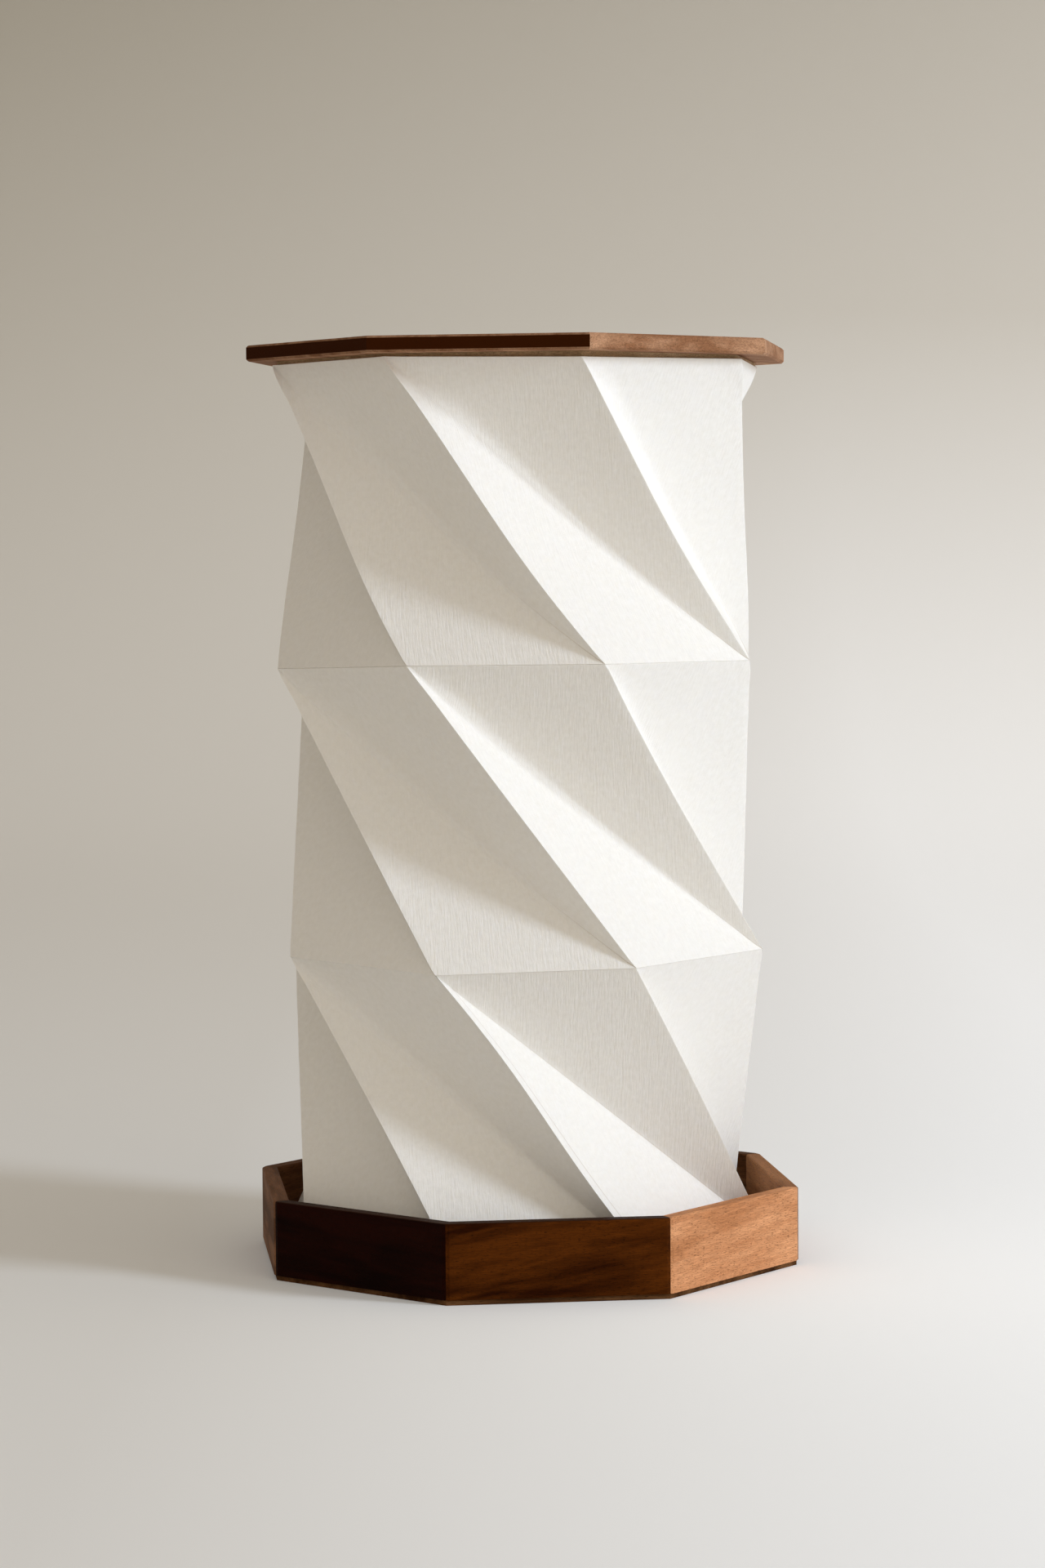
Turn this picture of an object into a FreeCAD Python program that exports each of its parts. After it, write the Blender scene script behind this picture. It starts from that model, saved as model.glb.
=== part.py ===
import FreeCAD, Part
import math
import os
import re
import Sketcher

# An octagonal pleated paper table lamp. A shade of three twisted, folded paper tiers hangs under an
# octagonal wooden plate and stands in a low mitred wooden tray, over a lampholder and its bulb.
# Millimetres and degrees, +Z up; the origin is the centre of the tray's underside, and the tray's
# front wall faces -Y. The shade lifts straight off the tray, and the bulb then comes out of its holder.

SIZES = {
    # tray
    "tray_play": 5.6,           # from the paper's lowest edge to the walls
    "wall_height": 28.0,
    "wall_thick": 6.0,
    "corner_ease": 1.6,         # how far the sanded corner reaches along a wall's face
    "edge_ease": 0.8,           # sanded edges of the tray's rim and of both boards
    "base_thick": 3.2,
    "base_inset": 0.9,          # base board's edge, in from the walls' faces
    "floor_thick": 9.0,
    "fit_clearance": 0.1,       # between pieces that are fitted and stay together
    # way in for the lead
    "lead_bore": 5.2,
    "bushing_wall": 1.2,
    "bushing_rim": 0.9,
    "bushing_head": 1.5,
    "bushing_footing": 1.0,     # wood left under the bushing's hole
    "channel_width": 7.0,
    # screws and dowels
    "screw_shank": 3.0,
    "screw_head": 5.6,
    "screw_taper": 1.6,
    "screw_bite": 0.6,          # share of the second board that a screw reaches into
    "base_screw_ring": 62.0,    # radius on which the base screws stand
    "dowel_width": 5.0,
    "dowel_rise": 3.4,
    "dowel_depth": 5.0,
    "dowel_play": 0.4,          # gap all round a dowel in the shade's bottom frame
    # threaded nipple with its nuts
    "nipple_width": 10.0,
    "nipple_bore": 7.4,
    "nut_across": 14.0,
    "nut_thick": 3.0,
    "washer_width": 20.0,
    "washer_thick": 1.0,
    "recess_room": 1.0,         # gap around and under the nut in the floor's recess
    # lampholder
    "shell_room": 1.55,         # from the screw shell to the lampholder's skirt
    "holder_wall": 2.0,
    "neck_wall": 3.0,
    "neck_height": 9.0,
    "grub_rise": 3.0,
    "dome_height": 8.0,
    "cap_rim": 5.0,
    "ledge_width": 2.0,
    "block_flange": 2.0,
    "block_height": 8.0,
    "spigot_height": 2.6,
    "grub_width": 3.0,
    "terminal_pitch": 9.0,
    "terminal_head": 5.0,
    "terminal_shank": 3.0,
    "terminal_rise": 1.8,
    "terminal_depth": 4.5,
    "sheet_metal": 0.5,
    "contact_width": 5.0,
    "contact_foot": 6.0,
    "contact_rise": 4.0,
    # bulb
    "bulb_cap_width": 26.0,
    "bulb_cap_gap": 0.35,       # between the bulb's thread and the holder's screw shell
    "bulb_cap_height": 24.0,
    "bulb_insulator_height": 6.5,
    "bulb_tip_width": 9.6,
    "bulb_tip_point": 6.4,
    "bulb_tip_height": 1.6,
    "thread_pitch": 3.6,
    "thread_depth": 0.8,
    "bulb_width": 60.0,
    "globe_latitude": 35.0,     # how far below its widest ring the globe is cut off
    "globe_wall": 1.2,
    "housing_height": 35.0,
    "housing_wall": 1.6,
    "housing_neck": 3.0,
    "housing_lip": 2.4,         # upright part of its outside, at the top
    "shoulder_drop": 12.0,      # where its outside starts to narrow faster, down from the top
    "shoulder_inset": 3.0,
    "driver_width": 18.0,
    "driver_thick": 1.6,
    "board_thick": 1.6,
    "board_inset": 2.4,
    "chip_length": 3.5,
    "chip_width": 2.8,
    "chip_height": 0.8,
    "chip_ring": 15.0,
    # shade
    "seat_gap": 0.3,            # under the shade and under the bulb
    "shade_width": 191.4,       # across the corners of a ring crease
    "tier_height": 110.7,
    "tier_twist": 50.2,         # turn of a mountain fold, from one ring crease to the next
    "paper_gauge": 0.6,
    "frame_thick": 4.0,
    "frame_width": 12.0,
    "edge_reveal": 1.2,         # shadow gap between the paper's top edge and the plate
    "plate_overhang": 9.6,      # past the flats of the paper's highest edge
    "plate_thick": 6.0,
}
WALLS = ("front", "front_right", "right", "rear_right", "rear", "rear_left", "left", "front_left")
TIERS = ("lower", "middle", "upper")
CORNERS = 4                     # screws or dowels in a ring
CHIPS = 12                      # light-emitting chips on the bulb's board
TURN = 360 / len(WALLS)         # one side of the octagon

# Levels above the table and sizes that follow from the ones above
FLOOR_TOP = "(base_thick + floor_thick)"
SHADE_ACROSS = f"(shade_width * cos({TURN / 2}))"
INNER_ACROSS = f"({SHADE_ACROSS} + 2 * tray_play)"
TRAY_ACROSS = f"({INNER_ACROSS} + 2 * wall_thick)"
PLATE_ACROSS = f"({SHADE_ACROSS} + 2 * plate_overhang)"
BUSHING_WIDTH = "(lead_bore + 2 * bushing_wall)"
BUSHING_HEAD_WIDTH = f"({BUSHING_WIDTH} + 2 * bushing_rim)"
LEAD_LEVEL = f"(base_thick + bushing_footing + {BUSHING_WIDTH} / 2)"
CHANNEL_HEIGHT = f"({LEAD_LEVEL} + lead_bore / 2 - base_thick + fit_clearance)"
NIPPLE_FOOT = "(base_thick + recess_room)"
NUT_CORNERS = f"(nut_across / cos({180 / 6}))"
RECESS_WIDTH = f"(max(washer_width; {NUT_CORNERS}) + 2 * recess_room)"
RECESS_HEIGHT = "(recess_room + nut_thick + washer_thick)"
CAP_LEVEL = f"({FLOOR_TOP} + nut_thick)"
NECK_WIDTH = "(nipple_width + 2 * neck_wall)"
SHELL_BORE = "(bulb_cap_width + 2 * bulb_cap_gap)"
SHELL_WIDTH = f"({SHELL_BORE} + 2 * sheet_metal)"
SPIGOT_BORE = f"({SHELL_WIDTH} + 2 * shell_room)"
SPIGOT_WIDTH = f"({SPIGOT_BORE} + 2 * holder_wall)"
BORE_WIDTH = f"({SPIGOT_WIDTH} + 2 * fit_clearance)"
LEDGE_BORE = f"({BORE_WIDTH} - 2 * ledge_width)"
HOLDER_WIDTH = f"({BORE_WIDTH} + 2 * holder_wall)"
SKIRT_BORE = f"({SPIGOT_WIDTH} - holder_wall)"
BLOCK_LEVEL = f"({CAP_LEVEL} + neck_height + dome_height)"
BLOCK_TOP = f"({BLOCK_LEVEL} + block_height)"
SKIRT_LEVEL = f"({BLOCK_LEVEL} + cap_rim)"
BULB_LEVEL = f"({BLOCK_TOP} + contact_rise + seat_gap)"
HOUSING_LEVEL = f"({BULB_LEVEL} + bulb_cap_height)"
SKIRT_HEIGHT = f"({HOUSING_LEVEL} - {SKIRT_LEVEL} - holder_wall)"
GLOBE_FOOT = "(bulb_width * cos(globe_latitude))"
GLOBE_LEVEL = f"({HOUSING_LEVEL} + housing_height)"
BOARD_WIDTH = f"({GLOBE_FOOT} - 2 * board_inset)"
SHADE_FOOT = f"({FLOOR_TOP} + seat_gap)"
SHADE_TOP = f"({SHADE_FOOT} + {len(TIERS)} * tier_height)"
PLATE_LEVEL = f"({SHADE_TOP} + edge_reveal)"
RING_INSIDE = f"({SHADE_ACROSS} - 4 * paper_gauge)"
FRAME_OPENING = f"({RING_INSIDE} - 2 * frame_width)"
FRAME_MIDDLE = f"(({RING_INSIDE} - frame_width) / 2)"
TIER_TURN = f"({TURN} - tier_twist)"
SHADE_TURN = f"({len(TIERS)} * {TIER_TURN})"
TOP_SCREW_LENGTH = "(frame_thick + edge_reveal + screw_bite * plate_thick)"
BASE_SCREW_LENGTH = "(base_thick + screw_bite * floor_thick)"

doc = FreeCAD.newDocument("pleated_paper_lamp")
sheet = doc.addObject("Spreadsheet::Sheet", "Sizes")
for row, (alias, number) in enumerate(SIZES.items(), start=1):
    sheet.set(f"A{row}", alias.replace("_", " "))
    sheet.set(f"B{row}", str(number))
    sheet.setAlias(f"B{row}", alias)
doc.recompute()
subparts = []


def from_sheet(text):
    """The expression with each size's name pointed at the spreadsheet."""
    return re.sub(r"\b[a-z]+(_[a-z]+)+\b", r"Sizes.\g<0>", text)


def size(text):
    return float(sheet.evalExpression(from_sheet(text)))


def bind(item, **sizes):
    """Bind properties to expressions, a dot in the name written as two underscores."""
    for name, text in sizes.items():
        item.setExpression(name.replace("__", "."), from_sheet(text))
    return item


def place(item, level="0", turn="0", axis=(0, 0, 1), across="0", back="0"):
    item.Placement = FreeCAD.Placement(FreeCAD.Vector(), FreeCAD.Rotation(FreeCAD.Vector(*axis), 1))
    return bind(item, Placement__Base__x=across, Placement__Base__y=back, Placement__Base__z=level,
                Placement__Rotation__Angle=turn)


def subpart(item, label):
    item.Label = label
    subparts.append(item)
    return item


def primitive(kind, name, **sizes):
    return bind(doc.addObject(f"Part::{kind}", name), **sizes)


def cylinder(name, width, height, level, **where):
    return place(primitive("Cylinder", name, Radius=f"{width} / 2", Height=height), level, **where)


def prism(name, across, height, level, turn="0", sides=len(WALLS)):
    """A regular prism across its flats, one flat facing -Y before the turn."""
    item = doc.addObject("Part::Prism", name)
    item.Polygon = sides
    bind(item, Circumradius=f"{across} / 2 / cos({180 / sides})", Height=height)
    return place(item, level, f"{turn} + {180 / sides}")


def cut(name, base, *tools):
    for number, tool in enumerate(tools, start=1):
        item = doc.addObject("Part::Cut", f"{name}_cut_{number}")
        item.Base, item.Tool = base, tool
        base = item
    return base


def fuse(name, *shapes):
    item = doc.addObject("Part::MultiFuse", name)
    item.Shapes = list(shapes)
    return item


def group(name, items):
    item = doc.addObject("Part::Compound", name)
    item.Links = list(items)
    return item


def new_body(label):
    body = doc.addObject("PartDesign::Body", label)
    body.Label = label
    return body


def outline(body, plane, corners):
    """A closed sketch of straight lines; each corner is two expressions, measured from the origin."""
    sketch = body.newObject("Sketcher::SketchObject", f"{body.Name}_outline")
    support = next(item for item in body.Origin.OriginFeatures if item.Role == plane)
    sketch.AttachmentSupport = [(support, "")]
    sketch.MapMode = "FlatFace"
    points = [FreeCAD.Vector(size(across), size(up), 0) for across, up in corners]
    for start, end in zip(points, points[1:] + points[:1]):
        sketch.addGeometry(Part.LineSegment(start, end))
    for index, corner in enumerate(corners):
        before = (index - 1) % len(corners)
        sketch.addConstraint(Sketcher.Constraint("Coincident", before, 2, index, 1))
        for direction, axis, text in zip(("DistanceX", "DistanceY"), (-2, -1), corner):
            pin(sketch, index, direction, axis, text)
    return sketch


def pin(sketch, index, direction, axis, text):
    """Hold the start of a line at a distance from the origin, or on the axis where that is nothing."""
    distance = size(text)
    if abs(distance) < 1e-9:
        sketch.addConstraint(Sketcher.Constraint("PointOnObject", index, 1, axis))
        return
    ends = (-1, 1, index, 1) if distance > 0 else (index, 1, -1, 1)
    number = sketch.addConstraint(Sketcher.Constraint(direction, *ends, abs(distance)))
    sketch.setExpression(f"Constraints[{number}]", from_sheet(text if distance > 0 else f"-({text})"))


def padded_body(label, corners, length, plane="XY_Plane", midplane=False):
    body = new_body(label)
    pad = body.newObject("PartDesign::Pad", f"{label}_pad")
    pad.Profile = outline(body, plane, corners)
    pad.Midplane = midplane
    bind(pad, Length=length)
    doc.recompute()
    return body


def turned_body(label, corners):
    """A piece turned about its own upright axis, from a half section of (width, height) corners."""
    body = new_body(label)
    sketch = outline(body, "XZ_Plane", [(f"{width} / 2", height) for width, height in corners])
    turning = body.newObject("PartDesign::Revolution", f"{label}_turning")
    turning.Profile = sketch
    turning.ReferenceAxis = (sketch, ["V_Axis"])
    turning.Angle = 360
    doc.recompute()
    return body


def ease_edges(body, kind, amount, wanted):
    """Round or bevel the edges of the body's last feature whose middle passes the test."""
    base = body.Tip
    edges = [f"Edge{number}" for number, edge in enumerate(base.Shape.Edges, start=1)
             if wanted(edge.CenterOfMass, edge)]
    feature = body.newObject(f"PartDesign::{kind}", f"{body.Name}_{kind.lower()}")
    feature.Base = (base, edges)
    bind(feature, **{"Radius" if kind == "Fillet" else "Size": amount})
    doc.recompute()


def octagon_corners(across):
    """Corners of an octagon, a flat facing each axis."""
    radius = f"{across} / 2 / cos({TURN / 2})"
    angles = [TURN * (side + 0.5) for side in range(len(WALLS))]
    return [(f"{radius} * cos({angle})", f"{radius} * sin({angle})") for angle in angles]


def is_level(edge):
    return edge.BoundBox.ZLength < 1e-6


# Tray ------------------------------------------------------------------------------------------

def tray_wall(label, turn):
    """One mitred strip, standing on the base board; its outer corners are sanded off a little."""
    outer, inner = f"({TRAY_ACROSS} / 2)", f"({INNER_ACROSS} / 2)"
    slope = f"tan({TURN / 2})"
    back_off = f"(corner_ease * cos({90 - TURN / 2}))"
    end = f"({outer} * {slope})"
    mitre_x = f"({end} - {back_off} * cos({90 - TURN / 2}))"
    mitre_y = f"({outer} - {back_off} * sin({90 - TURN / 2}))"
    right = [(f"({end} - corner_ease)", f"-{outer}"), (mitre_x, f"-{mitre_y}"),
             (f"({inner} * {slope})", f"-{inner}")]
    left = [(f"-{across}", back) for across, back in reversed(right)]
    body = padded_body(label, right + left, "wall_height")
    top = size("wall_height")
    depth = size(f"{outer} - corner_ease")
    ease_edges(body, "Fillet", "edge_ease", lambda middle, edge: is_level(edge) and middle.z > top - 1e-6
               and (middle.y < -depth or edge.BoundBox.YLength < 1e-6))
    return place(body, "base_thick", turn)


def board(label, across, thick, level, turn, wanted):
    """An octagonal board with bevelled edges."""
    body = padded_body(label, octagon_corners(across), thick)
    ease_edges(body, "Chamfer", "edge_ease", wanted)
    return place(body, level, turn)


def ring_of(name, make):
    """Copies of one small piece around the middle, between the octagon's axes."""
    angles = [360 / CORNERS * (number + 0.5) for number in range(CORNERS)]
    return group(name, [make(f"{name}_{number}", angle) for number, angle in enumerate(angles)])


def around(radius, angle):
    return {"across": f"{radius} * cos({angle})", "back": f"{radius} * sin({angle})"}


def wood_screws(name, radius, length, level, turn="0"):
    """Countersunk screws, heads down."""
    def one(title, angle):
        where = around(radius, f"({turn} + {angle})")
        head = primitive("Cone", f"{title}_head", Radius1="screw_head / 2", Radius2="screw_shank / 2",
                         Height="screw_taper")
        shank = cylinder(f"{title}_shank", "screw_shank", length, level, **where)
        return fuse(title, place(head, level, **where), shank)
    return ring_of(name, one)


base_screws = subpart(wood_screws("base_screws", "base_screw_ring", BASE_SCREW_LENGTH, "0"), "base_screws")
base_plank = board("base_plank", f"({TRAY_ACROSS} - 2 * base_inset)", "base_thick", "0", "0",
                   lambda middle, edge: is_level(edge) and middle.z < 1e-6)
subpart(cut("base_board", base_plank, base_screws), "base_board")

bushing = turned_body("lead_bushing", [
    ("lead_bore", "0"), (BUSHING_WIDTH, "0"), (BUSHING_WIDTH, "wall_thick"),
    (BUSHING_HEAD_WIDTH, "wall_thick"), (BUSHING_HEAD_WIDTH, "(wall_thick + bushing_head)"),
    ("lead_bore", "(wall_thick + bushing_head)")])
subpart(place(bushing, LEAD_LEVEL, "-90", (1, 0, 0), back=f"{INNER_ACROSS} / 2"), "lead_bushing")
bushing_hole = cylinder("bushing_hole", BUSHING_WIDTH, "wall_thick", LEAD_LEVEL, turn="-90", axis=(1, 0, 0),
                        back=f"{INNER_ACROSS} / 2")

for number, side in enumerate(WALLS):
    wall = tray_wall(f"wall_strip_{side}", str(TURN * number))
    if side == "rear":
        wall = cut("rear_wall", wall, bushing_hole)
    subpart(wall, f"tray_wall_{side}")

dowels = ring_of("dowel_ring", lambda title, angle: cylinder(
    title, "dowel_width", "(dowel_depth + dowel_rise)", f"({FLOOR_TOP} - dowel_depth)",
    **around(FRAME_MIDDLE, str(angle))))
subpart(dowels, "locating_dowels")
floor_plank = prism("floor_plank", f"({INNER_ACROSS} - 2 * fit_clearance)", "floor_thick", "base_thick")
channel = primitive("Box", "lead_channel", Length="channel_width", Width=f"{TRAY_ACROSS} / 2",
                    Height=CHANNEL_HEIGHT)
place(channel, "base_thick", across="-channel_width / 2")
recess = cylinder("nut_recess", RECESS_WIDTH, RECESS_HEIGHT, "base_thick")
nipple_hole = cylinder("nipple_hole", "(nipple_width + 2 * fit_clearance)", "floor_thick", "base_thick")
subpart(cut("floor_board", floor_plank, channel, recess, nipple_hole, dowels, base_screws), "tray_floor")

# Lampholder ------------------------------------------------------------------------------------

nipple_height = f"({CAP_LEVEL} + neck_height - {NIPPLE_FOOT})"
nipple_bar = cylinder("nipple_bar", "nipple_width", nipple_height, NIPPLE_FOOT)
nipple_way = cylinder("nipple_way", "nipple_bore", nipple_height, NIPPLE_FOOT)
subpart(cut("nipple", nipple_bar, nipple_way), "threaded_nipple")


def hex_nut(label, level):
    blank = prism(f"{label}_blank", "nut_across", "nut_thick", level, sides=6)
    subpart(cut(f"{label}_nut", blank, cylinder(f"{label}_hole", "nipple_width", "nut_thick", level)), label)


hex_nut("nipple_lower_nut", NIPPLE_FOOT)
hex_nut("nipple_upper_nut", FLOOR_TOP)
washer_level = f"({NIPPLE_FOOT} + nut_thick)"
subpart(cut("washer", cylinder("washer_disc", "washer_width", "washer_thick", washer_level),
            cylinder("washer_hole", "nipple_width", "washer_thick", washer_level)), "nipple_washer")

dome_top = "(neck_height + dome_height)"
holder_cap = turned_body("holder_cap_turning", [
    ("nipple_width", "0"), (NECK_WIDTH, "0"), (NECK_WIDTH, "(neck_height - holder_wall)"),
    (HOLDER_WIDTH, dome_top), (HOLDER_WIDTH, f"({dome_top} + cap_rim)"),
    (BORE_WIDTH, f"({dome_top} + cap_rim)"), (BORE_WIDTH, dome_top), (LEDGE_BORE, dome_top),
    (f"({NECK_WIDTH} - holder_wall)", "neck_height"), ("nipple_width", "neck_height")])
place(holder_cap, CAP_LEVEL)
grub_screw = cylinder("grub_screw", "grub_width", "neck_wall", f"({CAP_LEVEL} + grub_rise)", turn="90",
                      axis=(1, 0, 0), back="-nipple_width / 2")
subpart(cut("holder_cap", holder_cap, grub_screw), "lampholder_cap")
subpart(grub_screw, "cap_grub_screw")


def terminal_screw(title, side):
    where = {"across": f"{side} * terminal_pitch"}
    shank = cylinder(f"{title}_shank", "terminal_shank", "terminal_depth", BLOCK_LEVEL, **where)
    head = cylinder(f"{title}_head", "terminal_head", "terminal_rise", f"({BLOCK_LEVEL} - terminal_rise)",
                    **where)
    return fuse(title, shank, head)


terminals = group("terminals", [terminal_screw("live_terminal", -1), terminal_screw("neutral_terminal", 1)])
subpart(terminals, "terminal_screws")
block_width = f"({SPIGOT_BORE} - 2 * fit_clearance)"
block = turned_body("contact_block_turning", [
    ("0", "0"), (SPIGOT_WIDTH, "0"), (SPIGOT_WIDTH, "block_flange"), (block_width, "block_flange"),
    (block_width, "block_height"), ("0", "block_height")])
subpart(cut("contact_block", place(block, BLOCK_LEVEL), terminals), "lampholder_insulator")

spigot_foot = "(0 - spigot_height)"
lip = f"({SKIRT_HEIGHT} - holder_wall)"
skirt = turned_body("lampholder_skirt", [
    (SPIGOT_BORE, spigot_foot), (SPIGOT_WIDTH, spigot_foot), (SPIGOT_WIDTH, "0"), (HOLDER_WIDTH, "0"),
    (HOLDER_WIDTH, SKIRT_HEIGHT), (SPIGOT_BORE, SKIRT_HEIGHT), (SPIGOT_BORE, lip), (SKIRT_BORE, lip),
    (SKIRT_BORE, "0"), (SPIGOT_BORE, "0")])
subpart(place(skirt, SKIRT_LEVEL), "lampholder_skirt")

shell_height = f"({SKIRT_LEVEL} + {SKIRT_HEIGHT} - {BLOCK_TOP} - holder_wall)"
shell = turned_body("screw_shell", [
    ("(contact_foot * 2 + holder_wall * 2)", "0"), (SHELL_WIDTH, "0"),
    (SHELL_WIDTH, shell_height), (SHELL_BORE, shell_height),
    (SHELL_BORE, "sheet_metal"), ("(contact_foot * 2 + holder_wall * 2)", "sheet_metal")])
subpart(place(shell, BLOCK_TOP), "lampholder_screw_shell")

contact = padded_body("centre_contact", [
    ("-contact_foot", "0"), ("contact_foot", "0"), ("(contact_foot - sheet_metal)", "sheet_metal * 2"),
    ("(sheet_metal * 2)", "contact_rise"), ("-sheet_metal * 2", "contact_rise"),
    ("-sheet_metal * 2", "(contact_rise - sheet_metal)"), ("0", "(contact_rise - sheet_metal)"),
    ("(contact_foot - sheet_metal * 4)", "sheet_metal"), ("-contact_foot", "sheet_metal")],
    "contact_width", "XZ_Plane", midplane=True)
subpart(place(contact, BLOCK_TOP), "lampholder_centre_contact")

# Bulb ------------------------------------------------------------------------------------------

tip = primitive("Cone", "bulb_tip", Radius1="bulb_tip_point / 2", Radius2="bulb_tip_width / 2",
                Height="bulb_tip_height")
subpart(place(tip, BULB_LEVEL), "bulb_tip_contact")
subpart(place(turned_body("bulb_glass", [
    ("0", "bulb_tip_height"), ("bulb_tip_width", "bulb_tip_height"),
    ("(bulb_cap_width - 4 * thread_depth)", "bulb_insulator_height"), ("0", "bulb_insulator_height")]),
    BULB_LEVEL), "bulb_insulator")


def thread_outline():
    """The rolled thread of the bulb's cap as even grooves, then its plain inside."""
    crest, root = "bulb_cap_width", "(bulb_cap_width - 2 * thread_depth)"
    corners = [("(bulb_cap_width - 4 * thread_depth)", "bulb_insulator_height")]
    turns = int(size("(bulb_cap_height - bulb_insulator_height) / thread_pitch - 0.5"))
    for turn in range(turns):
        for quarter, width in ((1, root), (2, crest), (3, crest), (4, root)):
            corners.append((width, f"(bulb_insulator_height + {turn + quarter / 4} * thread_pitch)"))
    inside = "(bulb_cap_width - 4 * thread_depth)"
    return corners + [(root, "bulb_cap_height"), (inside, "bulb_cap_height")]


subpart(place(turned_body("bulb_cap", thread_outline()), BULB_LEVEL), "bulb_screw_cap")

neck_width = "(bulb_cap_width + 2 * sheet_metal)"
housing_inside = f"({GLOBE_FOOT} - 2 * housing_wall)"
shelf = "(housing_height - board_thick - housing_wall)"
housing = turned_body("housing_turning", [
    ("0", "0"), (neck_width, "0"), (neck_width, "housing_neck"),
    (f"({GLOBE_FOOT} - 2 * shoulder_inset)", "(housing_height - shoulder_drop)"),
    (GLOBE_FOOT, "(housing_height - housing_lip)"),
    (GLOBE_FOOT, "housing_height"), (housing_inside, "housing_height"), (housing_inside, shelf),
    (f"({BOARD_WIDTH} - 4 * housing_wall)", shelf), (f"({neck_width} - 2 * housing_wall)", "housing_neck"),
    ("0", "housing_neck")])
subpart(place(housing, HOUSING_LEVEL), "bulb_housing")
driver = primitive("Box", "driver_plate", Length="driver_width", Width="driver_thick",
                   Height=f"{shelf} - housing_neck")
place(driver, f"({HOUSING_LEVEL} + housing_neck)", across="-driver_width / 2", back="-driver_thick / 2")
subpart(driver, "bulb_driver_board")
board_level = f"({HOUSING_LEVEL} + {shelf})"
subpart(cylinder("led_disc", BOARD_WIDTH, "board_thick", board_level), "led_board")


def led_chip(number):
    chip = primitive("Box", f"led_chip_{number}", Length="chip_length", Width="chip_width",
                     Height="chip_height")
    angle = 360 / CHIPS * number
    middle = around("chip_ring", str(angle))
    corner_x = f"{middle['across']} - chip_length / 2 * cos({angle}) + chip_width / 2 * sin({angle})"
    corner_y = f"{middle['back']} - chip_length / 2 * sin({angle}) - chip_width / 2 * cos({angle})"
    return place(chip, f"({board_level} + board_thick)", str(angle), across=corner_x, back=corner_y)


subpart(group("chips", [led_chip(number) for number in range(CHIPS)]), "led_chips")


def globe_ball(name, radius, latitude):
    ball = primitive("Sphere", name, Radius=radius, Angle1=f"-{latitude}")
    return place(ball, f"({GLOBE_LEVEL} + bulb_width / 2 * sin(globe_latitude))")


inner_radius = "(bulb_width / 2 - globe_wall)"
inner_latitude = f"asin(min(1; bulb_width / 2 * sin(globe_latitude) / {inner_radius}))"
subpart(cut("globe", globe_ball("globe_outside", "bulb_width / 2", "globe_latitude"),
            globe_ball("globe_inside", inner_radius, inner_latitude)), "bulb_globe")

# Shade -----------------------------------------------------------------------------------------

def tier_corner(side, upper=False):
    """A corner of a tier's lower or upper ring crease, counted anticlockwise."""
    angle = math.radians(TURN * (side + 0.5) + (size(TIER_TURN) if upper else 0))
    radius = size("shade_width / 2")
    level = size("tier_height") if upper else 0
    return FreeCAD.Vector(radius * math.cos(angle), radius * math.sin(angle), level)


def turned(item, sides):
    """A vector or a shape, turned about the upright axis by a number of the octagon's sides."""
    turning = FreeCAD.Rotation(FreeCAD.Vector(0, 0, 1), TURN * sides)
    if isinstance(item, FreeCAD.Vector):
        return turning.multVec(item)
    return item.transformed(FreeCAD.Placement(FreeCAD.Vector(), turning).toMatrix())


def outward(corners):
    return (corners[1] - corners[0]).cross(corners[2] - corners[0]).normalize()


def flat_face(corners):
    return Part.Face(Part.makePolygon(list(corners) + [corners[0]]))


# The facet that stands on a side of the lower crease and the one that hangs from the upper crease. They
# meet in a valley fold, from the upper corner to the lower corner that is two sides further round. A
# standing facet meets the hanging facet before it in a mountain fold, one side further round.
STANDING = [tier_corner(0, True), tier_corner(1), tier_corner(2)]
HANGING = [tier_corner(0, True), tier_corner(2), tier_corner(1, True)]


def paper_facet(corners, folds):
    """One flat facet with its thickness inside its corners, mitred at two folds and level at its third
    side. Each fold is a corner at either end and the outward direction of the facet beyond it."""
    middle = (corners[0] + corners[1] + corners[2]) / 3
    wide = [corner * 2 - middle for corner in corners]
    facet = flat_face(wide).extrude(-outward(corners) * size("paper_gauge"))
    for start, end, beyond in folds:
        mitre = Part.Plane(start, (end - start).cross(outward(corners) + beyond)).toShape()
        facet = facet.common(mitre.makeHalfSpace(middle))
    reach = size("shade_width")
    level_ends = Part.makeBox(2 * reach, 2 * reach, size("tier_height"), FreeCAD.Vector(-reach, -reach, 0))
    return facet.common(level_ends).Solids[0]


def paper_facets():
    """A tier's facets, each a panel of its own between its folds, as the paper stays flat there."""
    before, after = turned(outward(HANGING), -1), turned(outward(STANDING), 1)
    standing = paper_facet(STANDING, [(STANDING[0], STANDING[1], before),
                                      (STANDING[0], STANDING[2], outward(HANGING))])
    hanging = paper_facet(HANGING, [(HANGING[0], HANGING[1], outward(STANDING)),
                                    (HANGING[2], HANGING[1], after)])
    return [turned(facet, side) for side in range(len(WALLS)) for facet in (standing, hanging)]


def tier_outside():
    """The closed form of a tier, solid between its two creases."""
    sides = range(len(WALLS))
    ends = [flat_face([tier_corner(side, upper) for side in sides]) for upper in (False, True)]
    sheets = [flat_face([turned(corner, side) for corner in facet]) for side in sides
              for facet in (STANDING, HANGING)]
    return Part.Solid(Part.Shell(ends + sheets))


facets = paper_facets()
tier_inside = tier_outside().cut(facets)


def shade_feature(name, shape, tier):
    item = doc.addObject("Part::Feature", name)
    item.Shape = shape
    return place(item, f"({SHADE_FOOT} + {tier} * tier_height)", f"{tier} * {TIER_TURN}")


for number, tier in enumerate(TIERS):
    subpart(shade_feature(f"{tier}_tier", Part.Compound(facets), number), f"shade_tier_{tier}")


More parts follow.
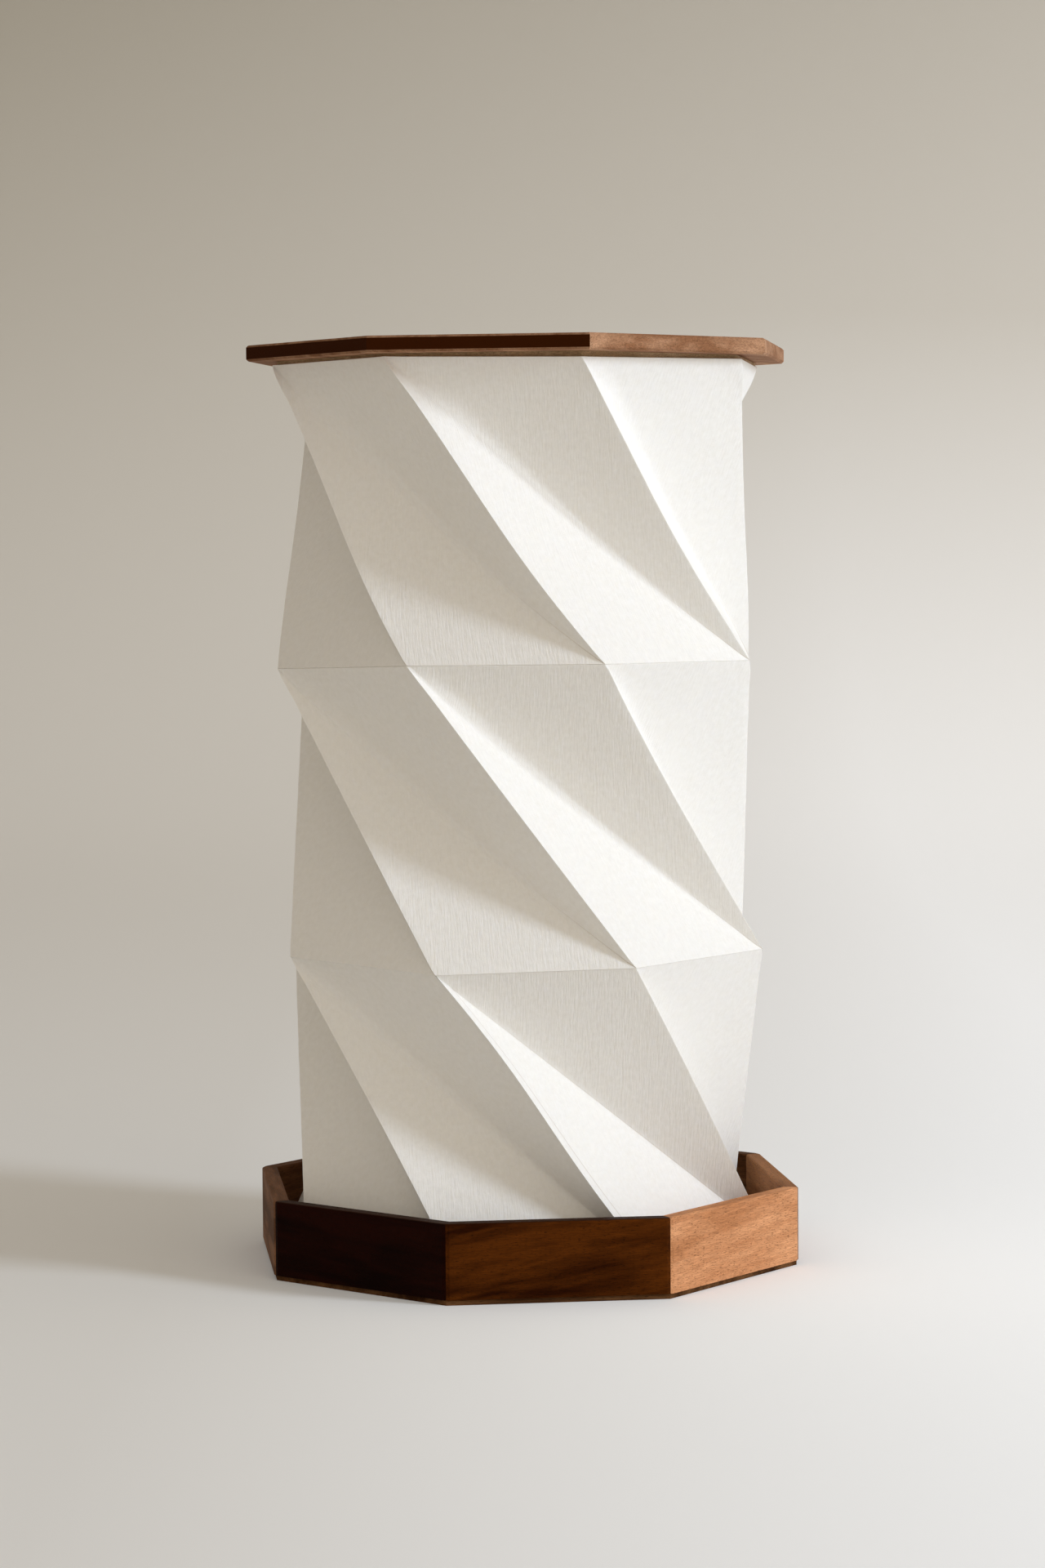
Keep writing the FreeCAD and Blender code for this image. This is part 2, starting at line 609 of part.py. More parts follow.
def paper_frame(name, tier, level, turn, *extra):
    """An octagonal frame whose edge follows the folds just inside the paper."""
    slab = cylinder(f"{name}_slab", "shade_width", "frame_thick", level)
    plug = doc.addObject("Part::MultiCommon", f"{name}_plug")
    plug.Shapes = [shade_feature(f"{name}_inside", tier_inside, tier), slab]
    solid = fuse(f"{name}_solid", plug, *extra) if extra else plug
    opening = prism(f"{name}_opening", FRAME_OPENING, "(frame_thick + edge_reveal)", level, turn)
    return cut(name, solid, opening)


dowel_holes = ring_of("dowel_holes", lambda title, angle: cylinder(
    title, "(dowel_width + 2 * dowel_play)", "frame_thick", SHADE_FOOT, **around(FRAME_MIDDLE, str(angle))))
bottom_frame = paper_frame("bottom_ring", 0, SHADE_FOOT, "0")
subpart(cut("bottom_frame", bottom_frame, dowel_holes), "shade_bottom_frame")

frame_level = f"({SHADE_TOP} - frame_thick)"
top_screws = subpart(wood_screws("top_screws", FRAME_MIDDLE, TOP_SCREW_LENGTH, frame_level, SHADE_TURN),
                     "top_frame_screws")
packing = prism("frame_packing", RING_INSIDE, "edge_reveal", SHADE_TOP, SHADE_TURN)
top_frame = paper_frame("top_ring", len(TIERS) - 1, frame_level, SHADE_TURN, packing)
subpart(cut("top_frame", top_frame, top_screws), "shade_top_frame")

plate = board("plate_plank", PLATE_ACROSS, "plate_thick", PLATE_LEVEL, SHADE_TURN,
              lambda middle, edge: is_level(edge))
subpart(cut("plate", plate, top_screws), "top_plate")

# Check and write -------------------------------------------------------------------------------

doc.recompute()
failed = [item.Name for item in doc.Objects if {"Invalid", "Error"} & set(item.State)]
failed += [item.Label for item in subparts if item.Shape.isNull() or not item.Shape.isValid()]
if failed:
    raise RuntimeError(f"not built: {failed}")
os.makedirs("parts", exist_ok=True)
for item in subparts:
    item.Shape.exportStep(f"parts/{item.Label}.step")
    print(f"{item.Label}: {len(item.Shape.Solids)} solid(s), {item.Shape.Volume / 1000:.2f} cm3")
print(f"{len(subparts)} sub-parts, {size(PLATE_LEVEL) + size('plate_thick'):.1f} mm tall")
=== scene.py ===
# %% [markdown]
# # A pleated paper table lamp
# The lamp has three families of surface: folded white paper, oiled wood, and the small metal and
# plastic pieces of the lampholder and bulb that show when the shade is lifted off. The construction
# comes as a fixed frame of solids at their real size. These cells set a camera, floor and lights,
# fold the paper again as a thin sheet, and give every solid a finish of its own.

# %% Load the frame
import math

import bmesh
import bpy
from mathutils import Matrix, Vector, noise


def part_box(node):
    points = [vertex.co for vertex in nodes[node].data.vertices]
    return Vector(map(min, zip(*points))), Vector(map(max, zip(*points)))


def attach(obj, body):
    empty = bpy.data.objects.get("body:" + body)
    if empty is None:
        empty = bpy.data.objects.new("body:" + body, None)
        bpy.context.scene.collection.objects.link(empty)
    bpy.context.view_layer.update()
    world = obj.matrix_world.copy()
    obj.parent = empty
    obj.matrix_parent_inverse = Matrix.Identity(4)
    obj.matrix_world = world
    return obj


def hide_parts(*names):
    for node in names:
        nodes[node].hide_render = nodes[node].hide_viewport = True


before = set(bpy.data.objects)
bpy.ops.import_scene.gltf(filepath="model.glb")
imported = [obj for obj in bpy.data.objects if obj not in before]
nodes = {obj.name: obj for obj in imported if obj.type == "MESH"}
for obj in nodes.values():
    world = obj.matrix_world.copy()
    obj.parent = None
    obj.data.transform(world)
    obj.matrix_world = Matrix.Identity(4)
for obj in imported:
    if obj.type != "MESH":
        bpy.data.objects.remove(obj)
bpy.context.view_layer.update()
frame_finishes = {item.data.materials[0].name for item in nodes.values()}


def rounded(place, digits):
    return [round(value, digits) for value in place]


# %% [markdown]
# Lengths are easier to read in millimetres, and the scene is in metres. The octagon repeats every
# 45 degrees, and the lamp's front wall faces -Y.

# %% Units and the octagon
MM = 0.001
SIDES = 8
TURN = math.tau / SIDES
degrees = math.radians  # an angle that is given in degrees


def upright(point, angle):
    """The point turned about the lamp's axis."""
    return Matrix.Rotation(angle, 3, "Z") @ Vector(point)


# %% [markdown]
# ## Camera
# The photograph is taken from one and a half metres, from about three quarters up the lamp, and
# looks down by less than four degrees. The lamp stands turned by about seven degrees. The frame has
# it square to the axes, so the camera goes round it instead.

# %% Camera
CAMERA_TURN = degrees(-6.84)
CAMERA_REACH = 1490.0 * MM
CAMERA_LEVEL = 277.7 * MM
CAMERA_PITCH = degrees(86.4)  # 90 degrees is level
CAMERA_ROLL = degrees(-0.41)
LENS = 88.8  # mm
SENSOR_WIDTH = 36.0


def add_object(name, data):
    """Show some data as an object of the scene."""
    item = bpy.data.objects.new(name, data)
    bpy.context.scene.collection.objects.link(item)
    return item


camera_data = bpy.data.cameras.new("camera")
camera_data.lens = LENS
camera_data.sensor_width = SENSOR_WIDTH
camera = add_object("camera", camera_data)
aim = Matrix.Rotation(CAMERA_TURN, 4, "Z") @ Matrix.Rotation(CAMERA_PITCH, 4, "X")
aim = aim @ Matrix.Rotation(CAMERA_ROLL, 4, "Z")
camera_place = upright((0, -CAMERA_REACH, CAMERA_LEVEL), CAMERA_TURN)
camera.matrix_world = Matrix.Translation(camera_place) @ aim
bpy.context.scene.camera = camera
bpy.context.scene.view_settings.view_transform = "Standard"
print("camera at", rounded(camera_place, 3))

# %% [markdown]
# ## Mesh and material helpers
# A new piece is shaped in a bmesh. Once it is finished it becomes an object at the origin, with its
# place in its mesh, as the solids of the frame have.

# %% Helpers for pieces
def mesh_object(name, bm, material):
    """Turn a finished bmesh into a smooth object of one material."""
    mesh = bpy.data.meshes.new(name)
    bm.to_mesh(mesh)
    bm.free()
    mesh.materials.append(material)
    for face in mesh.polygons:
        face.use_smooth = True
    print(f"{name}: {len(mesh.polygons)} faces")
    return add_object(name, mesh)


def piece(name, bm, body, material, replaces=()):
    """Turn a bmesh into a piece that rides on a body and takes the place of solids."""
    item = mesh_object(name, bm, material)
    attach(item, body)
    if replaces:
        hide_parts(*replaces)
    return item


def extrude(bm, edges):
    """Extrude some edges, and give the new points."""
    grown = bmesh.ops.extrude_edge_only(bm, edges=edges)["geom"]
    return [item for item in grown if isinstance(item, bmesh.types.BMVert)]


def rotate(bm, angle, verts, axis="Z"):
    bmesh.ops.rotate(bm, cent=(0, 0, 0), matrix=Matrix.Rotation(angle, 3, axis), verts=verts)


def narrow(vert, share):
    """Bring a point nearer to the lamp's axis."""
    vert.co.x *= share
    vert.co.y *= share


def thicken(item, thickness, offset=-1.0):
    """Give a sheet its thickness with a live modifier: inwards for -1, outwards for 1."""
    solid = item.modifiers.new("thickness", "SOLIDIFY")
    solid.thickness = thickness
    solid.offset = offset


# %% [markdown]
# A material is a small tree of nodes that ends in one Principled shader. These helpers make a node,
# set its inputs and link it, so that each finish below reads as a list of what feeds what.

# %% Helpers for materials
class Finish:
    """A material being built: a Principled shader and the nodes that feed it."""

    def __init__(self, name, colour, roughness, **shader):
        self.material = bpy.data.materials.new(name)
        self.material.use_nodes = True
        self.nodes = self.material.node_tree.nodes
        self.links = self.material.node_tree.links
        self.shader = self.nodes["Principled BSDF"]
        self.feed(self.shader, Base_Color=(*colour, 1.0), Roughness=roughness, **shader)
        self.place = self.add("ShaderNodeTexCoord").outputs["Object"]

    def add(self, kind, **settings):
        node = self.nodes.new(kind)
        for name, value in settings.items():
            setattr(node, name, value)
        return node

    def put(self, value, socket):
        """Link a socket, or set a plain value."""
        if isinstance(value, bpy.types.NodeSocket):
            self.links.new(value, socket)
        else:
            socket.default_value = value

    def feed(self, node, **inputs):
        """Link or set some inputs of a node by name, and give the node."""
        for name, value in inputs.items():
            self.put(value, node.inputs[name.replace("_", " ")])
        return node

    def mapped(self, place=None, turn=0.0, move=(0, 0, 0), stretch=(1, 1, 1), slope=0.0):
        """Turn the place about Z and move it, then slope it about Y and stretch it."""
        place = place or self.place
        turned = {"Rotation": (0, 0, turn), "Location": move}
        for settings in (turned, {"Rotation": (0, slope, 0)}, {"Scale": stretch}):
            node = self.feed(self.add("ShaderNodeMapping"), Vector=place, **settings)
            place = node.outputs["Vector"]
        return place

    def noise(self, place, scale, detail=3.0, rough=0.5, bend=0.0):
        node = self.add("ShaderNodeTexNoise")
        self.feed(node, Vector=place, Scale=scale, Detail=detail, Roughness=rough, Distortion=bend)
        return node.outputs["Fac"]

    def maths(self, operation, *values):
        node = self.add("ShaderNodeMath", operation=operation)
        for value, socket in zip(values, node.inputs):
            self.put(value, socket)
        return node.outputs["Value"]

    def times(self, first, second):
        return self.maths("MULTIPLY", first, second)

    def plus(self, first, second):
        return self.maths("ADD", first, second)

    def split(self, place):
        """The X, Y and Z of a place or a direction."""
        return tuple(self.feed(self.add("ShaderNodeSeparateXYZ"), Vector=place).outputs)

    def between(self, value, low, high, start=0.0, end=1.0):
        """The value's way from low to high, as a way from start to end."""
        node = self.add("ShaderNodeMapRange")
        for given, socket in zip((value, low, high, start, end), node.inputs):
            self.put(given, socket)
        return node.outputs["Result"]

    def blend(self, share, first, second, kind="MIX"):
        """Mix two colours, each a socket or a triple."""
        node = self.add("ShaderNodeMix", data_type="RGBA", blend_type=kind)
        colours = [(*colour, 1.0) if isinstance(colour, tuple) else colour for colour in (first, second)]
        sockets = (node.inputs["Factor"], node.inputs["A"], node.inputs["B"])
        for value, socket in zip((share, *colours), sockets):
            self.put(value, socket)
        return node.outputs["Result"]

    def bump(self, height, depth, after=None):
        """Raise the surface by the height times the depth, in metres."""
        node = self.feed(self.add("ShaderNodeBump"), Height=height, Distance=depth)
        if after:
            self.put(after, node.inputs["Normal"])
        return node.outputs["Normal"]

    def finish(self, colour=None, roughness=None, normal=None):
        """Feed the shader, and give the finished material."""
        for value, socket in ((colour, "Base Color"), (roughness, "Roughness"), (normal, "Normal")):
            if value:
                self.put(value, self.shader.inputs[socket])
        return self.material


def dress(node, material):
    """Give a solid of the frame a better material than its plain one."""
    item = nodes[node]
    item.data.materials.clear()
    item.data.materials.append(material)


# %% [markdown]
# ## Floor and backdrop
# The lamp stands on a seamless sweep: one sheet that is the floor, curves up behind and becomes the
# backdrop. A profile of points is extruded sideways, and subdivision rounds its bend. Its paint is
# darkened upwards and to the left, which is painted shade. Low down, and most on the right, it has
# a painted glow for the camera and in gloss alone, so that it lights nothing else.

# %% Floor and backdrop
SWEEP_HALF_WIDTH = 3.0
SWEEP_PROFILE = ((-2.6, 0.0), (1.2, 0.0), (1.75, 0.02), (2.25, 0.28), (2.5, 0.85), (2.5, 3.2))
SWEEP_PALE = (0.98, 0.97, 0.945)
# painted shade: the paint darkens upwards and to the left
SWEEP_PAINTED_SHADE = (0.350, 0.322, 0.262)
PAINTED_SHADE_LEVELS = (0.0, 0.95)  # it darkens from one to the other, in metres up
PAINTED_SHADE_SIDES = (0.75, -0.95)  # the same to the right
PAINTED_SHADE_SHARES = (0.62, 0.42)  # how much the two count
# painted light: a glow low down and most on the right, which the camera and gloss alone see
PAINTED_GLOW_COLOUR = (0.80, 0.88, 1.0, 1.0)
PAINTED_GLOW_LEVELS = (0.5, 0.0)
PAINTED_GLOW_SIDES = (-0.14, 0.30)
PAINTED_GLOW_STRENGTHS = (0.0, 0.27)  # on these two sides, over the one below
PAINTED_GLOW_BASE = 0.045


def sweep_paint():
    """Pale matt paint with painted shade upwards and to the left, and a painted glow low on the right."""
    paint = Finish("sweep_paint", SWEEP_PALE, 0.95, Specular_IOR_Level=0.1)
    across, back, level = paint.split(paint.mapped(turn=-CAMERA_TURN))
    # painted shade upwards and to the left
    height = paint.between(level, *PAINTED_SHADE_LEVELS)
    aside = paint.between(across, *PAINTED_SHADE_SIDES)
    share = paint.plus(paint.times(height, PAINTED_SHADE_SHARES[0]), paint.times(aside, PAINTED_SHADE_SHARES[1]))
    colour = paint.blend(share, SWEEP_PALE, SWEEP_PAINTED_SHADE)
    # painted light low on the right
    glow = paint.plus(paint.between(across, *PAINTED_GLOW_SIDES, *PAINTED_GLOW_STRENGTHS), PAINTED_GLOW_BASE)
    glow = paint.times(glow, paint.between(level, *PAINTED_GLOW_LEVELS))
    rays = paint.add("ShaderNodeLightPath").outputs
    seen = paint.maths("MAXIMUM", rays["Is Camera Ray"], rays["Is Glossy Ray"])
    paint.shader.inputs["Emission Color"].default_value = PAINTED_GLOW_COLOUR
    paint.put(paint.times(seen, glow), paint.shader.inputs["Emission Strength"])
    return paint.finish(colour=colour)


bm = bmesh.new()
line = [bm.verts.new((-SWEEP_HALF_WIDTH, y, z)) for y, z in SWEEP_PROFILE]
run = [bm.edges.new(pair) for pair in zip(line, line[1:])]
bmesh.ops.translate(bm, vec=(2 * SWEEP_HALF_WIDTH, 0, 0), verts=extrude(bm, run))
rotate(bm, CAMERA_TURN, bm.verts)
bmesh.ops.recalc_face_normals(bm, faces=bm.faces)
sweep = mesh_object("sweep", bm, sweep_paint())
rounding = sweep.modifiers.new("rounding", "SUBSURF")
rounding.levels = rounding.render_levels = 3

# %% [markdown]
# ## Light
# One large soft lamp stands low on the right and somewhat in front. It rakes across the pleats, so
# that each ridge throws a soft shadow on the facet behind it. A dim warm room fills the shadows: a
# world that is brightest low in front, so that facets which face down and forwards stay light.

# %% Light
KEY_TURN = degrees(-30.0)
KEY_HEIGHT = degrees(20.0)
KEY_REACH = 2.6
KEY_WIDTH = 0.55
KEY_POWER = 39.3
KEY_COLOUR = (0.755, 0.855, 1.0)
KEY_TARGET = Vector((0, 0, 0.17))  # the middle of the lamp
ROOM_COLOUR = (1.0, 0.90, 0.765, 1.0)
DOME_TURN = degrees(-65.0)  # where the room is brightest
DOME_HEIGHT = degrees(-20.0)
DOME_STRENGTHS = (0.185, 0.92)  # of the room's light, at its dimmest and its brightest


def direction(turn, height):
    """The way at an angle about the axis and an angle up."""
    return upright((math.cos(height), 0, math.sin(height)), turn)


key_data = bpy.data.lights.new("key", "AREA")
key_data.shape = "DISK"
key_data.size = KEY_WIDTH
key_data.energy = KEY_POWER
key_data.color = KEY_COLOUR
key = add_object("key", key_data)
way = direction(KEY_TURN, KEY_HEIGHT)
key.location = KEY_TARGET + way * KEY_REACH
key.rotation_euler = (-way).to_track_quat("-Z", "Y").to_euler()

world = bpy.data.worlds.new("room")
bpy.context.scene.world = world
world.use_nodes = True
background = world.node_tree.nodes["Background"]
background.inputs["Color"].default_value = ROOM_COLOUR
ray = world.node_tree.nodes.new("ShaderNodeTexCoord")
along = world.node_tree.nodes.new("ShaderNodeVectorMath")
along.operation = "DOT_PRODUCT"
along.inputs[1].default_value = direction(DOME_TURN, DOME_HEIGHT)
strength = world.node_tree.nodes.new("ShaderNodeMapRange")
for value, socket in zip((-1.0, 1.0, *DOME_STRENGTHS), list(strength.inputs)[1:5]):
    socket.default_value = value
world.node_tree.links.new(ray.outputs["Generated"], along.inputs[0])
world.node_tree.links.new(along.outputs["Value"], strength.inputs[0])
world.node_tree.links.new(strength.outputs["Result"], background.inputs["Strength"])
print("key at", rounded(key.location, 2))

# %% [markdown]
# ## The folded paper
# Each tier is one strip of stiff paper, scored in a zigzag and closed round. Its flat pattern is a
# row of triangles. A mountain fold goes from an upper corner to the lower corner one side further
# round, and a valley fold goes from the same upper corner to the lower corner after that. The levels
# and turns of the ring creases are read off the photograph: the paper is folded by hand, so the
# middle two sit a little low and a few corners lean by a millimetre or two.

# %% Ring creases
PAPER_RADIUS = 95.7 * MM
PAPER_THICKNESS = 0.4 * MM
TIER_NAMES = ("lower", "middle", "upper")
RING_LEVELS = (12.5, 121.7, 232.0, 344.5)  # mm, of the creases below, between and above the tiers
RING_TURNS = (-22.5, -26.5, -33.2, -38.1)  # first corner, from -Y towards +X
CORNER_LEANS = {  # (ring, corner): turn in degrees, rise and reach in mm
    (0, 1): (-0.8, 0.0, 0.0),
    (1, 7): (-0.9, 0.0, 0.6),
    (1, 0): (0.0, -1.8, 0.0),
    (1, 2): (0.0, 0.9, 0.0),
    (2, 7): (-1.2, -1.9, 0.6),
    (2, 0): (0.6, 0.5, 0.0),
    (2, 1): (-0.3, 0.8, 0.0),
    (2, 2): (0.0, 0.3, -0.8),
    (2, 3): (1.2, 0.0, -1.3),
    (3, 0): (0.2, 0.2, 0.0),
    (3, 1): (-0.4, -0.8, 0.0),
    (3, 3): (0.6, 0.0, -0.6),
}


def ring_corner(ring, corner):
    """A corner of a ring crease. Corner 0 is the one left of the front."""
    lean, rise, reach = CORNER_LEANS.get((ring, corner % SIDES), (0.0, 0.0, 0.0))
    angle = degrees(RING_TURNS[ring] + lean - 90.0) + corner * TURN
    radius = PAPER_RADIUS + reach * MM
    return Vector((radius * math.cos(angle), radius * math.sin(angle), (RING_LEVELS[ring] + rise) * MM))


ring_side = (ring_corner(0, 1) - ring_corner(0, 0)).length
print("one side of a ring crease:", round(ring_side / MM, 1), "mm")

# %% [markdown]
# The tier starts as an octagon of eight edges. Extruding them upwards and turning the new octagon
# gives eight twisted quads. Their upright edges are the mountain folds, and joining the far corners
# of each quad gives the valley folds.

# %% Fold one tier
def folded_strip(tier):
    """The sixteen flat facets of one tier."""
    bm = bmesh.new()
    corner = bm.verts.layers.int.new("corner")
    bmesh.ops.create_circle(bm, segments=SIDES, radius=PAPER_RADIUS)
    rotate(bm, degrees(RING_TURNS[tier]), bm.verts)
    bmesh.ops.translate(bm, vec=(0, 0, RING_LEVELS[tier] * MM), verts=bm.verts)
    lower = list(bm.verts)
    upper = extrude(bm, bm.edges[:])
    rotate(bm, degrees(RING_TURNS[tier + 1] - RING_TURNS[tier]) - TURN, upper)
    rise = (RING_LEVELS[tier + 1] - RING_LEVELS[tier]) * MM
    bmesh.ops.translate(bm, vec=(0, 0, rise), verts=upper)
    for face in bm.faces[:]:
        far_corners = max(zip(face.verts[:2], face.verts[2:]), key=span)
        bmesh.ops.connect_verts(bm, verts=far_corners)
    for ring, verts in ((tier, lower), (tier + 1, upper)):
        for vert in verts:
            vert[corner] = nearest_corner(ring, vert.co)
            vert.co = ring_corner(ring, vert[corner])
    bmesh.ops.recalc_face_normals(bm, faces=bm.faces)
    return bm


def span(pair):
    return (pair[0].co - pair[1].co).length


def nearest_corner(ring, place):
    return min(range(SIDES), key=lambda corner: (ring_corner(ring, corner) - place).length)


strip = folded_strip(0)
edge_lengths = sorted({round(edge.calc_length() / MM) for edge in strip.edges})
print(len(strip.faces), "facets; edges of", edge_lengths, "mm")
strip.free()

# %% [markdown]
# Two UV maps lie on the facets. "flat" is the strip unrolled on the table, in metres, so that the
# paper's fibres keep their size and run across the strip. "folds" counts the folds: its first number
# is whole on every mountain fold and its second on every valley fold, and their difference is the
# way up the tier, from 0 to 1. Both are straight-line functions, so they stay exact when the facets
# are divided.

# %% Unroll one tier
def unroll(tier):
    """The side of the flat strip's triangles, how far its upper corners lie along, and its width."""
    top = ring_corner(tier + 1, 4)
    side = PAPER_RADIUS * 2 * math.sin(TURN / 2)
    mountain = (top - ring_corner(tier, 5)).length
    valley = (top - ring_corner(tier, 6)).length
    along = (3 * side ** 2 + mountain ** 2 - valley ** 2) / (2 * side)
    width = math.sqrt(mountain ** 2 - (along - side) ** 2)
    return side, along, width


def lay_flat(bm, tier):
    """Give the facets of a tier their two UV maps."""
    side, along, width = unroll(tier)
    middle = (RING_LEVELS[tier] + RING_LEVELS[tier + 1]) / 2 * MM
    corner = bm.verts.layers.int["corner"]
    flat = bm.loops.layers.uv.new("flat")
    folds = bm.loops.layers.uv.new("folds")
    for face in bm.faces:
        lows = [vert[corner] for vert in face.verts if vert.co.z < middle]
        highs = [vert[corner] for vert in face.verts if vert.co.z > middle]
        first = highs[0] if len(highs) == 1 else (lows[0] - 2) % SIDES
        for loop in face.loops:
            is_high = loop.vert.co.z > middle
            x = (first + (loop.vert[corner] - first) % SIDES) * side + is_high * along
            share = float(is_high)
            mountain = (x - (along - side) * share) / side
            loop[flat].uv = (x, share * width)
            loop[folds].uv = (mountain, mountain + share)


for tier, name in enumerate(TIER_NAMES):
    side, along, width = unroll(tier)
    size = f"{SIDES * side / MM:.0f} x {width / MM:.0f} mm"
    print(f"{name} tier unrolled: {size}, upper corners {along / MM:.1f} mm along")

# %% [markdown]
# Every edge is divided into short lengths, so that the paper can bend. The rings and the mountain
# folds are creased sharp. A valley fold is sharp at its narrow lower end, and a few are sharp all
# along. The rest of a valley is left smooth, since the paper is only rounded there.

# %% Divide the facets
CUTS = 47
LONGEST_MOUNTAIN = 155.0 * MM  # only a valley fold is longer than that
MOUNTAIN_GAP = 67.0  # mm straight across from one mountain fold to the next
VALLEY_GAP = 51.0  # mm straight across from one valley fold to the next
ON_THE_FOLD = 0.01 * MM
CREASED_END = 0.2  # the share of a valley fold, from below, that is sharp
TIGHT_VALLEYS = {0: (0, 1, 3, 5), 1: (), 2: ()}  # the valley folds creased tight all along, by tier


def divide(bm):
    """Divide the facets, with the rings and the mountain folds marked sharp."""
    for edge in bm.edges:
        edge.smooth = edge.calc_length() > LONGEST_MOUNTAIN
    bmesh.ops.subdivide_edges(bm, edges=bm.edges, cuts=CUTS, use_grid_fill=True)


def fold_counts(bm, vert):
    return vert.link_loops[0][bm.loops.layers.uv["folds"]].uv


def fold_distances(bm, vert):
    """How far a point is from a mountain and a valley fold, and its way up the tier."""
    mountain, valley = fold_counts(bm, vert)
    to_mountain = abs(mountain - round(mountain)) * MOUNTAIN_GAP * MM
    to_valley = abs(valley - round(valley)) * VALLEY_GAP * MM
    return to_mountain, to_valley, valley - mountain


def nearest_folds(bm, vert):
    """The numbers of the nearest mountain and valley fold."""
    mountain, valley = fold_counts(bm, vert)
    return (round(mountain) - 1) % SIDES, (round(valley) - 2) % SIDES


def crease_valleys(bm, tier):
    """Mark sharp the lower end of every valley fold, and all of a tight one."""
    for edge in bm.edges:
        ends = [fold_distances(bm, vert) for vert in edge.verts]
        if all(to_valley < ON_THE_FOLD for to_mountain, to_valley, share in ends):
            mountain, valley = nearest_folds(bm, edge.verts[0])
            if valley in TIGHT_VALLEYS[tier] or ends[0][2] < CREASED_END:
                edge.smooth = False


# %% [markdown]
# Real folded paper isn't flat between its folds. A fold bows sideways by a few millimetres, a valley
# fold is rounded where the paper is widest open, and the facets have faint dents. So each point is
# moved a little: outwards from the lamp's axis, or round it.

# %% Bow and dent the paper
MOUNTAIN_BOWS = {  # (tier, fold): bow and sway in mm, towards -X in front
    (0, None): (-1.2, 0.0),
    (0, 0): (-0.6, 1.3),
    (1, None): (0.3, 0.0),
    (1, 1): (2.2, 0.0),
    (2, None): (2.5, 1.0),
    (2, 1): (3.3, 1.0),
}
VALLEY_BOWS = {0: (-0.5, 0.0), 1: (4.8, 0.0), 2: (3.8, 2.6)}  # the same for a tier's valley folds
DENT_DEPTH = 0.4 * MM
DENT_SIZE = 34.0  # mm
DENT_MARGIN = 12.0 * MM  # beside a fold, where the dents run out
DENT_STEP = 7  # between the tiers' places in the noise
WAVE_DEPTH = 0.10 * MM
WAVE_SIZE = 4.0  # mm
VALLEY_SLOPE = 0.79  # how steeply the paper falls to a valley fold
VALLEY_WIDTHS = (6.0, 6.5, 9.0)  # mm from fold to flat facet, at the wide end, by tier
VALLEY_TIGHT = 0.8 * MM  # the same at its narrow end
VALLEY_POWER = 1.5  # how late, on the way up, a valley opens
RING_HOLD = 3.0  # how soon a valley's rounding sets in beside a ring
NO_DISTANCE = 1e-6  # avoids a division by 0 at a corner


def swing(bow_and_sway, share):
    """How far a fold runs beside its straight line: a bow, and a sway that is against it higher up."""
    bow, sway = bow_and_sway
    return (bow * math.sin(math.pi * share) + sway * math.sin(math.tau * share)) * MM


def crumple(bm, tier):
    """Bow the folds, round the valleys and dent the facets of a tier."""
    for vert in bm.verts:
        to_mountain, to_valley, share = fold_distances(bm, vert)
        mountain, valley = nearest_folds(bm, vert)
        share = min(max(share, 0.0), 1.0)
        place = vert.co / MM
        dent = noise.noise(place / DENT_SIZE + Vector((0, 0, DENT_STEP * tier)))
        wave = noise.noise(place / WAVE_SIZE)
        swell = math.sin(math.pi * share)
        inner = min(to_mountain, to_valley) / DENT_MARGIN
        shift = DENT_DEPTH * dent * min(inner, 1.0) * swell + WAVE_DEPTH * wave
        open_share = 0.0 if valley in TIGHT_VALLEYS[tier] else share ** VALLEY_POWER
        width = VALLEY_TIGHT + (VALLEY_WIDTHS[tier] * MM - VALLEY_TIGHT) * open_share
        filled = max(0.0, 1 - to_valley / width) ** 2
        shift += VALLEY_SLOPE * width / 2 * filled * min(swell * RING_HOLD, 1.0)
        away = to_mountain / (to_mountain + to_valley + NO_DISTANCE)
        bow = MOUNTAIN_BOWS.get((tier, mountain), MOUNTAIN_BOWS[tier, None])
        turn = -(swing(bow, share) * (1 - away) + swing(VALLEY_BOWS[tier], share) * away) / PAPER_RADIUS
        outward = Vector((vert.co.x, vert.co.y, 0)).normalized()
        vert.co = upright(vert.co + outward * shift, turn)


# %% [markdown]
# ## Paper
# The paper is a warm white sheet with fine fibres across the strip. In raking light the fibres show
# as short streaks. A fold gets a thin pale line where it stands out, partly wear and partly a painted
# highlight, and a thin brown line where it is creased in, partly a crease mark and partly painted
# shade. Beside the edge of the tab that closes the strip there is a painted shadow line, with its
# glue. A little light passes through the sheet, so it is given subsurface scattering.

# %% Lines on the paper
# the pale line is partly wear and partly a painted highlight, the brown line partly a crease mark and
# partly painted shade, the tab's line a painted shadow with its glue
# where a line starts and is full, as shares of the way to the next fold, and its strength at both
WORN_AND_HIGHLIGHT_LINE = (0.005, 0.001, 0.0, 0.5)
BROWN_AND_SHADE_LINE = (0.006, 0.002, 0.0, 0.5)
TAB_SHADOW_LINE = (0.006, 0.002, 0.0, 0.6)
TAB_SHARE = 3.0 / MOUNTAIN_GAP  # of the way from the mountain fold across the facet
TAB_SHADE = 0.002  # from the tab's edge to the line beside it, in such shares
TAB_FOLDS = {0: 0, 1: 4, 2: 5}  # tier: the mountain fold that its glued tab lies beside


def worn_and_highlit_ridges(paper, mountain):
    """A thin pale line on every mountain fold: partly wear, partly a painted highlight."""
    return paper.between(paper.maths("PINGPONG", mountain, 0.5), *WORN_AND_HIGHLIGHT_LINE)


